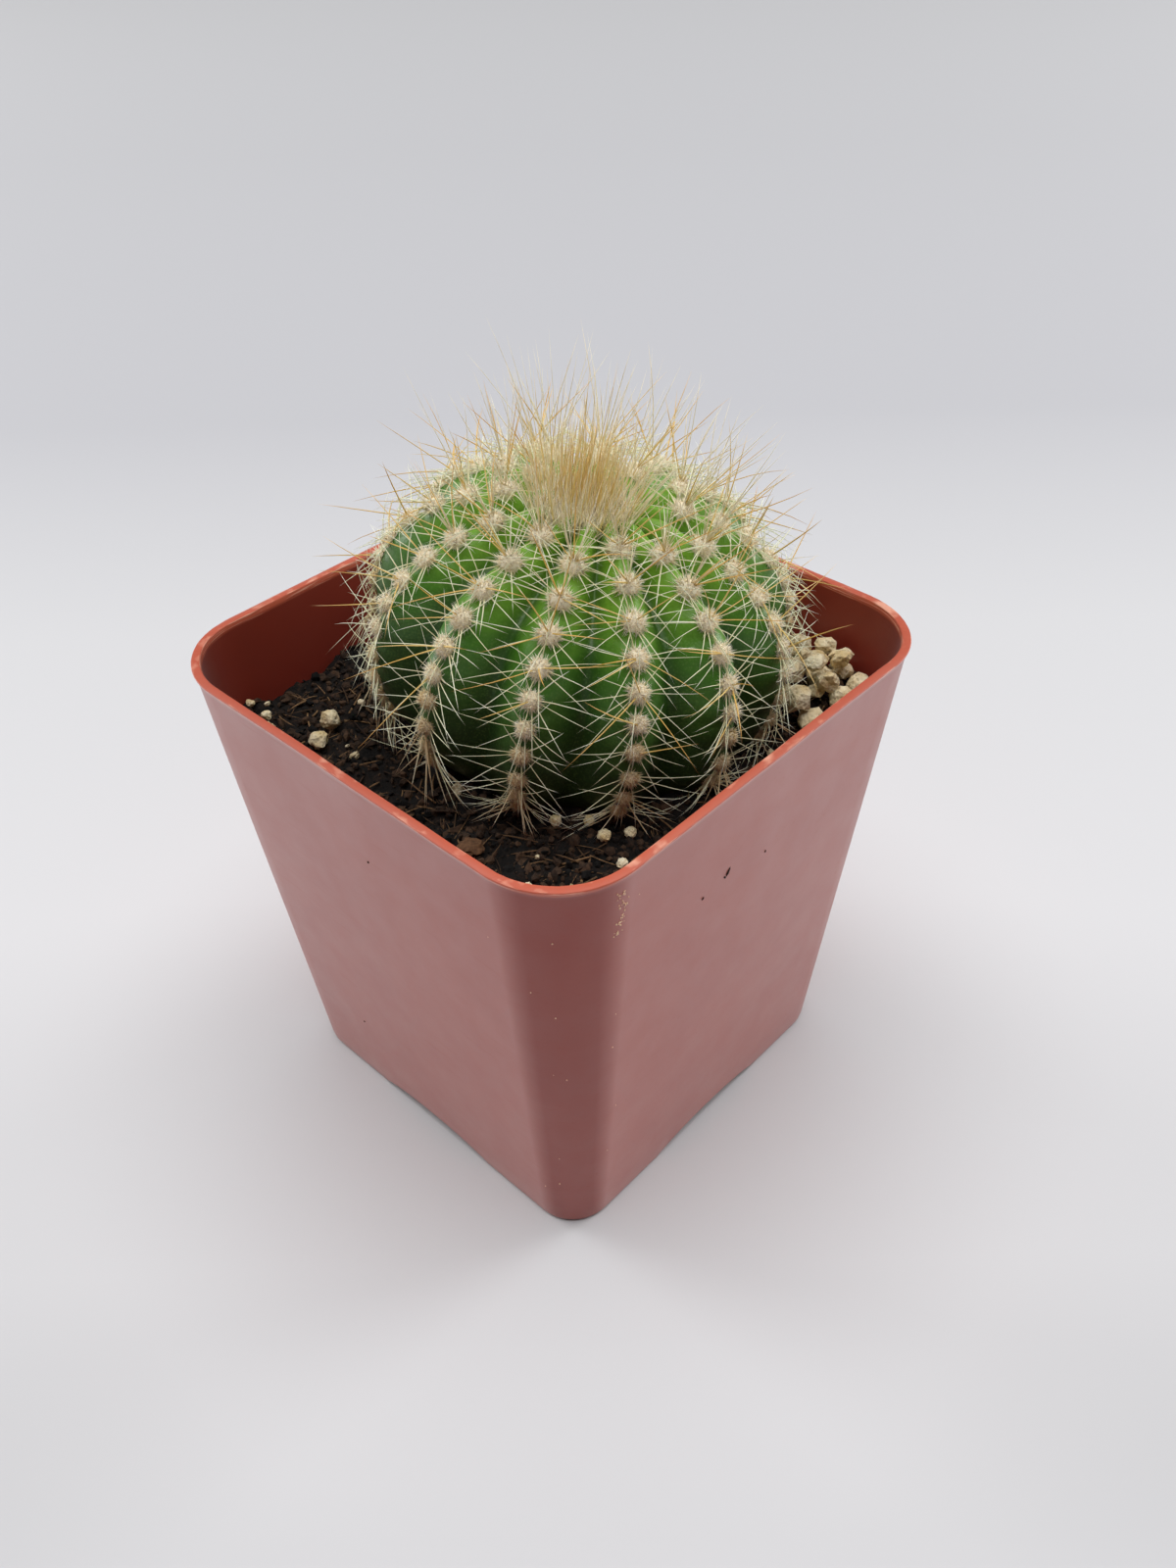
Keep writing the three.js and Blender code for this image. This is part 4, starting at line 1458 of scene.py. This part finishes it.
@dataclass
class Bed:
    """The peat with its crumbs and fibres, and the stones and chips that lie on it."""

    pot: PotShape
    soil: SoilShape
    globe: Globe
    grid: int = 110
    crumb_count: int = 9500
    crumb_radius: tuple[float, float] = (0.13, 0.72)
    crumb_flatness: float = 0.75
    fibre_count: int = 620
    twig_at: tuple[float, float] = (-20.3, -22.2)
    heap_count: int = 30
    heap_limit: float = 4.6
    grain_count: int = 46
    draw_half: float = 31.0
    block_clearance: float = 0.3
    # Flecks on the walls that face the camera: wall, place along it, height, half width, half height, tilt.
    flecks: tuple[tuple[str, float, float, float, float, float], ...] = (
        ("y", -5.3, 51.5, 0.2, 0.72, 28), ("y", -5.8, 50.9, 0.14, 0.3, -40),
        ("y", -9.4, 50.4, 0.1, 0.24, 35), ("y", 1.6, 49.5, 0.06, 0.2, 20),
        ("x", -1.7, 52.5, 0.16, 0.16, 0), ("x", 11.0, 13.1, 0.12, 0.16, 0))
    # Pale grains that the photograph shows singly: place and radius.
    grains: tuple[tuple[float, float, float, float], ...] = (
        (-29.7, -25.6, 64.0, 0.42), (-23.4, 25.2, 54.6, 0.7), (-23.8, 27.6, 55.4, 0.6),
        (-22.0, 26.9, 54.6, 0.45), (-17.6, -2.0, 54.3, 0.5), (-26.8, -9.0, 54.2, 0.45),
        (-27.0, -14.0, 54.1, 0.4), (-18.2, -25.5, 53.9, 0.35))
    draw: random.Random = field(default_factory=lambda: random.Random(5))

    def build(self) -> None:
        """Builds the peat and all that lies on it."""
        self.build_peat(DampPeat("Damp_milled_peat", 0.92, 1.4).build())
        crumbs = TintedFibre("Peat_crumbs", 0.9, 1.4, "#050302", "#4C3727").build()
        self.scatter_crumbs(crumbs)
        self.stick_flecks(crumbs)
        self.scatter_fibres(TintedFibre("Peat_fibres", 0.85, 1.4, "#2A1A10", "#8A6A48").build())
        pumice = PorousStone("Pumice_porous", 0.9, 1.45).build()
        perlite = PorousStone("Perlite_expanded", 0.85, 1.45, pale="#F6EED4", warm="#E4C880", pit="#BCA068",
                              pore=0.3).build()
        bark = TintedFibre("Pine_bark_composted", 0.85, 1.4, "#20130B", "#6A4A30").build()
        kinds = {"pumice": (pumice, Slot.STONE, 0.26), "perlite": (perlite, Slot.STONE, 0.2),
                 "bark": (bark, Slot.BARK, 0.3)}
        for name in sorted(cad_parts):
            kind = name.split("_")[0]
            if kind in kinds:
                self.carve_stone(name, *kinds[kind])
        self.pile_stones(pumice)

    def build_peat(self, finish: bpy.types.Material) -> bpy.types.Object:
        """Shapes a grid into the crumbled top and closes it down to the floor.

        Args:
            finish: The material.

        Returns:
            The new piece.
        """
        half = self.pot.rim_side / 2
        deselect()
        bpy.ops.mesh.primitive_grid_add(x_subdivisions=self.grid, y_subdivisions=self.grid, size=2.0)
        peat = name_piece("peat_block")
        places = coordinates(peat.data)
        for row in places:
            x, y = row[0] * half, row[1] * half
            x, y = self.pull_inside(x, y, self.soil.height(x, y))
            row[:] = (x, y, self.soil.crumbled(x, y))
        move_vertices(peat.data, places * MM)
        bpy.ops.object.mode_set(mode="EDIT")
        bpy.ops.mesh.select_all(action="SELECT")
        bpy.ops.mesh.remove_doubles(threshold=0.0002)
        bpy.ops.mesh.extrude_region_move(TRANSFORM_OT_translate={"value": (0, 0, -0.01)})
        bpy.ops.object.mode_set(mode="OBJECT")
        low = (self.pot.floor_top + self.block_clearance) * MM
        for vertex in peat.data.vertices:
            if vertex.select:
                x, y = self.pull_inside(vertex.co.x / MM, vertex.co.y / MM, self.pot.floor_top)
                vertex.co = (x * MM, y * MM, low)
        bpy.ops.object.mode_set(mode="EDIT")
        bpy.ops.mesh.select_all(action="SELECT")
        bpy.ops.mesh.normals_make_consistent(inside=False)
        bpy.ops.object.mode_set(mode="OBJECT")
        peat.data.materials.append(finish)
        bpy.ops.object.shade_smooth()
        return settle(peat, Slot.SOIL, "soil")

    def pull_inside(self, x: float, y: float, z: float, gap: float = 0.12) -> tuple[float, float]:
        """Pulls a place in plan to just inside the pot's wall at a height.

        Args:
            x: Place along X in millimetres.
            y: Place along Y in millimetres.
            z: Height in millimetres.
            gap: How clear it has to stay, in millimetres.

        Returns:
            The place, moved in where it has to be.
        """
        side, corner = self.pot.section(z, self.pot.wall + gap)
        centre = side / 2 - corner
        dx, dy = max(abs(x) - centre, 0.0), max(abs(y) - centre, 0.0)
        reach = math.hypot(dx, dy)
        if reach <= corner:
            return x, y
        shrink = corner / reach
        return (math.copysign(min(abs(x), centre) + dx * shrink, x),
                math.copysign(min(abs(y), centre) + dy * shrink, y))

    def free_place(self, gap: float) -> tuple[float, float] | None:
        """Draws a place on the open peat, clear of the wall and the plant, or None.

        Args:
            gap: How clear it has to stay, in millimetres.

        Returns:
            The place, or None where the draw is not clear.
        """
        x, y = (self.draw.uniform(-self.draw_half, self.draw_half) for _ in range(2))
        z = self.soil.height(x, y)
        if self.pot.past_wall(x, y, z) > -gap:
            return None
        if self.globe.skin_radius(Vector((x, y, z))) < gap - 0.8:
            return None
        return x, y

    def scatter_crumbs(self, finish: bpy.types.Material) -> None:
        """Scatters angular crumbs of peat over the top, copied from one modelled crumb, most of them small.

        Args:
            finish: The material.
        """
        shape, faces = model_bit(1)
        small, large = self.crumb_radius
        bits, tints = [], []
        for _ in range(self.crumb_count):
            size = small + (large - small) * self.draw.random() ** 2.5
            spot = self.free_place(size * 0.8 + 0.1)
            if spot is None:
                continue
            x, y = spot
            warp = np.array([[self.draw.uniform(0.55, 1.25)] for _ in shape])
            turn = np.array(Matrix.Rotation(self.draw.uniform(0, 6.28), 3, Vector((
                self.draw.uniform(-1, 1), self.draw.uniform(-1, 1), self.draw.uniform(-1, 1)))))
            stretch = np.array([self.draw.uniform(0.7, 1.5), 1.0, self.crumb_flatness])
            centre = (x, y, self.soil.crumbled(x, y) + size * 0.3)
            bits.append((shape * warp * stretch) @ turn.T * size + centre)
            tints.append(self.draw.random())
        settle(write_bits("peat_crumbs", bits, faces, {"tint": tints}, finish), Slot.SOIL)

    def stick_flecks(self, finish: bpy.types.Material) -> bpy.types.Object:
        """Sticks a few flecks of peat to the outside of the front walls, where the photograph shows them.

        Args:
            finish: The material.

        Returns:
            The new piece.
        """
        shape, faces = model_bit(1)
        bits = []
        for wall, along, z, wide, tall, tilt in self.flecks:
            side, _ = self.pot.section(z, 0.0)
            flat = (shape * (wide, 0.12, tall)) @ np.array(Matrix.Rotation(math.radians(tilt), 3, "Y")).T
            if wall == "x":
                bits.append(flat[:, (1, 0, 2)] * (-1, 1, 1) + (-side / 2, along, z))
            else:
                bits.append(flat + (along, -side / 2, z))
        piece = write_bits("wall_flecks", bits, faces, {"tint": [0.45] * len(bits)}, finish)
        return settle(piece, Slot.SOIL)

    def scatter_fibres(self, finish: bpy.types.Material) -> None:
        """Lays thin bent fibres and twigs over the peat.

        Args:
            finish: The material.
        """
        fibres = NeedleField(sides=4, cuts=3, blunt=0.8)
        while len(fibres.needles) < self.fibre_count:
            spot = self.free_place(1.6)
            if spot is None:
                continue
            x, y = spot
            turn = self.draw.uniform(0, 2 * math.pi)
            length = self.draw.uniform(1.5, 5.0)
            heading = Vector((math.cos(turn), math.sin(turn), self.draw.uniform(-0.1, 0.35))).normalized()
            tip = Vector((x, y, self.soil.height(x, y))) + heading * length
            if self.pot.past_wall(*tip) > -0.4:
                continue
            root = Vector((x, y, self.soil.crumbled(x, y) + 0.1))
            bend = Vector((self.draw.uniform(-0.3, 0.3), self.draw.uniform(-0.3, 0.3), -0.12))
            fibres.needles.append(Needle(root, heading, length, self.draw.uniform(0.05, 0.17), bend,
                                         self.draw.random()))
        twig = Vector((*self.twig_at, self.soil.height(*self.twig_at) + 0.5))
        fibres.needles.append(Needle(twig, Vector((0.92, 0.36, 0.12)), length=5.4, radius=0.3,
                                     curl=Vector((0.0, 0.05, 0.05)), tint=1.0))
        settle(fibres.write("peat_fibres", Matrix.Identity(4), finish), Slot.SOIL)

    def carve_stone(self, node: str, finish: bpy.types.Material, slot: Slot,
                    rough: float) -> bpy.types.Object:
        """Models one stone or chip in its solid's place, lumpy and pitted.

        Args:
            node: The solid's name.
            finish: The material.
            slot: The record's slot.
            rough: How lumpy it is.

        Returns:
            The new piece.
        """
        low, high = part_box(node)
        centre = (low + high) / 2
        half = (high - low) / 2
        deselect()
        bpy.ops.mesh.primitive_ico_sphere_add(subdivisions=3, radius=1.0)
        stone = name_piece(f"{node}_stone")
        places = coordinates(stone.data)
        seed = Vector((centre.x, centre.y, 0)) * 4000
        for row in places:
            way = Vector(row)
            lump = noise.fractal(way * 1.4 + seed, 0.8, 2.0, 4)
            facet = 0.94 + 0.1 * noise.cell(way * 1.3 + seed)
            row[:] = way * min(1.0, facet * (0.93 + rough * lump))
            row *= np.array(half)
            row += np.array(centre)
        move_vertices(stone.data, places)
        if "bark" in node:
            write_attribute(stone.data, "tint", np.full(len(places), 0.8))
        stone.data.materials.append(finish)
        bpy.ops.object.shade_smooth_by_angle(angle=math.radians(40))
        return settle(stone, slot, node)

    def pile_stones(self, finish: bpy.types.Material) -> None:
        """Heaps more pumice in the corner where the soil rises, and scatters small grains elsewhere.

        Args:
            finish: The material.
        """
        shape, faces = model_bit(2)
        bits, tints = [], []
        for x, y, z, size in self.heap_spots() + self.stray_spots():
            seed = Vector((x, y, z)) * 3.7
            turn = np.array(Matrix.Rotation(self.draw.uniform(0, 6.28), 3, Vector((0.3, 0.5, 1.0))))
            lumps = [noise.fractal(Vector(p) * 1.3 + seed, 0.8, 2.0, 3) for p in shape]
            swell = 0.85 + 0.35 * np.array(lumps)[:, None]
            stretch = np.array([self.draw.uniform(0.8, 1.2), 1.0, self.draw.uniform(0.7, 0.95)])
            bits.append((shape * swell * stretch) @ turn.T * size + (x, y, z))
            tints.append(self.draw.random())
        settle(write_bits("pumice_heap", bits, faces, {"tint": tints}, finish), Slot.STONE)

    def heap_spots(self) -> list[tuple[float, float, float, float]]:
        """Lists the places and radii of the heap's stones, the later ones lying on the first.

        Returns:
            Place and radius of each stone, in millimetres.
        """
        spots: list[tuple[float, float, float, float]] = []
        for _ in range(400):
            size = self.draw.uniform(1.1, 2.1)
            x = self.draw.gauss(self.soil.heap_x - 0.5, 3.2)
            y = self.draw.gauss(self.soil.heap_y + 2.0, 3.6)
            ground = self.soil.height(x, y)
            z = ground + size * 0.6
            for other in spots:
                away = math.hypot(x - other[0], y - other[1])
                touch = (size + other[3]) * 0.86
                if away < touch:
                    z = max(z, other[2] + math.sqrt(touch ** 2 - away ** 2))
            if z > ground + self.heap_limit or self.pot.past_wall(x, y, z) > -size * 1.05:
                continue
            if self.globe.skin_radius(Vector((x, y, z))) < size * 0.8:
                continue
            spots.append((x, y, z, size))
            if len(spots) == self.heap_count:
                break
        return spots

    def stray_spots(self) -> list[tuple[float, float, float, float]]:
        """Lists the places and radii of small pale grains scattered over the peat.

        Returns:
            Place and radius of each grain, in millimetres.
        """
        spots = list(self.grains)
        while len(spots) < self.grain_count:
            size = self.draw.uniform(0.25, 0.8)
            spot = self.free_place(size + 0.3)
            if spot is not None:
                spots.append((*spot, self.soil.height(*spot) + size * 0.7, size))
        return spots


@dataclass(frozen=True)
class Studio:
    """The camera at the photograph's place, the pale floor and the soft light."""

    rim_side: float = 64.0
    focal_px: float = 1368.0
    frame_px: float = 1600.0
    elevation_deg: float = 39.99
    yaw_deg: float = CAMERA_YAW_DEG
    roll_deg: float = -1.34
    distance: float = 2.7114
    shift_right: float = 0.0578
    shift_up: float = 0.1295
    mid_height: float = 32.32
    overhead: float = 2.6
    overhead_deg: float = 60.0
    # The panels: name, place seen from the camera's side, width in metres and power in watts.
    panels: tuple[tuple[str, tuple[float, float, float], float, float], ...] = (
        ("panel_left", (-1.2, 0.62, 0.44), 0.7, 4.8), ("panel_right", (1.2, 0.6, 0.44), 0.7, 4.8))
    panel_spread_deg: float = 120.0
    horizon: str = "#B4B5B8"
    zenith: str = "#3C3D40"

    def build(self) -> None:
        """Places the camera, the floor, the lights and the surrounding light."""
        self.place_camera()
        self.lay_floor()
        self.hang_lights()

    def place_camera(self) -> None:
        """Makes the camera from the sizes that the pot's outline in the photograph gives, in rim sides."""
        rise = math.radians(self.elevation_deg)
        turn = math.radians(self.yaw_deg)
        roll = math.radians(self.roll_deg)
        right = Vector((1, 0, 0))
        up = Vector((0, math.sin(rise), math.cos(rise)))
        ahead = Vector((0, math.cos(rise), -math.sin(rise)))
        place = (right * self.shift_right + up * self.shift_up - ahead * self.distance) * self.rim_side
        place += Vector((0, 0, self.mid_height))
        across = right * math.cos(roll) + up * math.sin(roll)
        upward = up * math.cos(roll) - right * math.sin(roll)
        spin = Matrix.Rotation(-turn, 3, "Z")
        axes = Matrix([spin @ across, spin @ upward, spin @ -ahead]).transposed()
        data = bpy.data.cameras.new("camera")
        data.sensor_width = 36.0
        data.lens = self.focal_px * data.sensor_width / self.frame_px
        data.clip_start = 0.005
        camera = bpy.data.objects.new("camera", data)
        camera.matrix_world = Matrix.Translation((spin @ place) * MM) @ axes.to_4x4()
        bpy.context.scene.collection.objects.link(camera)
        bpy.context.scene.camera = camera

    def lay_floor(self) -> None:
        """Lays a pale sheet with painted light: a lighter pool round the pot, and a painted falloff that
        grows greyer far behind it.
        """
        deselect()
        bpy.ops.mesh.primitive_plane_add(size=6.0, location=(0, 0, -0.0002))
        floor = name_piece("floor_sheet")
        floor.data.materials.append(PaleSheet("Pale_matt_sheet", 0.7, 1.45).build())

    def hang_lights(self) -> None:
        """Hangs a broad soft light overhead and a panel at each side, and sets the surrounding light."""
        data = bpy.data.lights.new("overhead", "SUN")
        data.energy = self.overhead
        data.angle = math.radians(self.overhead_deg)
        bpy.context.scene.collection.objects.link(bpy.data.objects.new("overhead", data))
        spin = Matrix.Rotation(-math.radians(self.yaw_deg), 3, "Z")
        for name, spot, size, power in self.panels:
            data = bpy.data.lights.new(name, "AREA")
            data.shape = "DISK"
            data.size = size
            data.energy = power
            data.spread = math.radians(self.panel_spread_deg)
            lamp = bpy.data.objects.new(name, data)
            place = spin @ Vector(spot)
            aim = (Vector((0, 0, 0.05)) - place).to_track_quat("-Z", "Y")
            lamp.matrix_world = Matrix.Translation(place) @ aim.to_matrix().to_4x4()
            bpy.context.scene.collection.objects.link(lamp)
        self.surround()
        bpy.context.scene.view_settings.view_transform = "Standard"

    def surround(self) -> None:
        """Sets a surround that is pale at the horizon, as a lit backdrop is, and dark above."""
        world = bpy.data.worlds.new("surround")
        world.use_nodes = True
        tree = world.node_tree
        way = add_node(tree, "ShaderNodeTexCoord").outputs["Generated"]
        height = add_node(tree, "ShaderNodeSeparateXYZ", inputs={"Vector": way}).outputs["Z"]
        colour = set_stops(add_node(tree, "ShaderNodeValToRGB", inputs={"Fac": height}),
                           ((0.0, self.horizon), (0.05, self.horizon), (0.35, self.zenith)))
        tree.links.new(colour, tree.nodes["Background"].inputs["Color"])
        bpy.context.scene.world = world


@dataclass(frozen=True)
class PaleSheet(Finish):
    """Matt pale sheet: light grey round the object, its tone changing slowly with the depth from it, as
    painted light falloff.
    """

    # Depth behind the pot's middle in metres, and the painted falloff tone there.
    painted_falloff_tones: tuple[tuple[float, str], ...] = (
        (-0.2, "#C8C8CA"), (-0.07, "#C9C9CB"), (-0.04, "#D4D4D6"), (0.03, "#D0D0D2"), (0.1, "#CCCCCE"),
        (0.2, "#B9B9BD"), (0.45, "#B8B8BB"), (0.8, "#BCBCBE"))

    def dress(self, tree: bpy.types.NodeTree, shader: bpy.types.Node, place: bpy.types.NodeSocket) -> None:
        """Links the slow change of tone, which paints the light's falloff, and a faint tooth.

        Args:
            tree: The node tree.
            shader: The principled shader.
            place: Object coordinates.
        """
        turned = add_node(tree, "ShaderNodeMapping",
                          inputs={"Vector": place, "Rotation": (0, 0, math.radians(CAMERA_YAW_DEG))})
        split = add_node(tree, "ShaderNodeSeparateXYZ", inputs={"Vector": turned.outputs["Vector"]})
        front, back = self.painted_falloff_tones[0][0], self.painted_falloff_tones[-1][0]
        share = self.spread(tree, split.outputs["Y"], front, back)
        stops = [((depth - front) / (back - front), code) for depth, code in self.painted_falloff_tones]
        colour = set_stops(add_node(tree, "ShaderNodeValToRGB", inputs={"Fac": share}), stops)
        tree.links.new(colour, shader.inputs["Base Color"])
        tooth = self.relief(tree, self.grain(tree, place, 1.2, 2), 0.02, 0.2)
        tree.links.new(tooth, shader.inputs["Normal"])


def main() -> None:
    """Builds the studio, the pot, the peat and the plant, in that order."""
    logging.basicConfig(level=logging.INFO, format="%(name)s %(message)s")
    pot, soil, globe = PotShape(), SoilShape(), Globe()
    Studio().build()
    Pot(pot).build(SatinPolypropylene("Polypropylene_moulded_terracotta", 0.42, 1.5).build())
    Bed(pot, soil, globe).build()
    Cactus(globe, pot, soil).build()


if __name__ == "__main__":
    main()
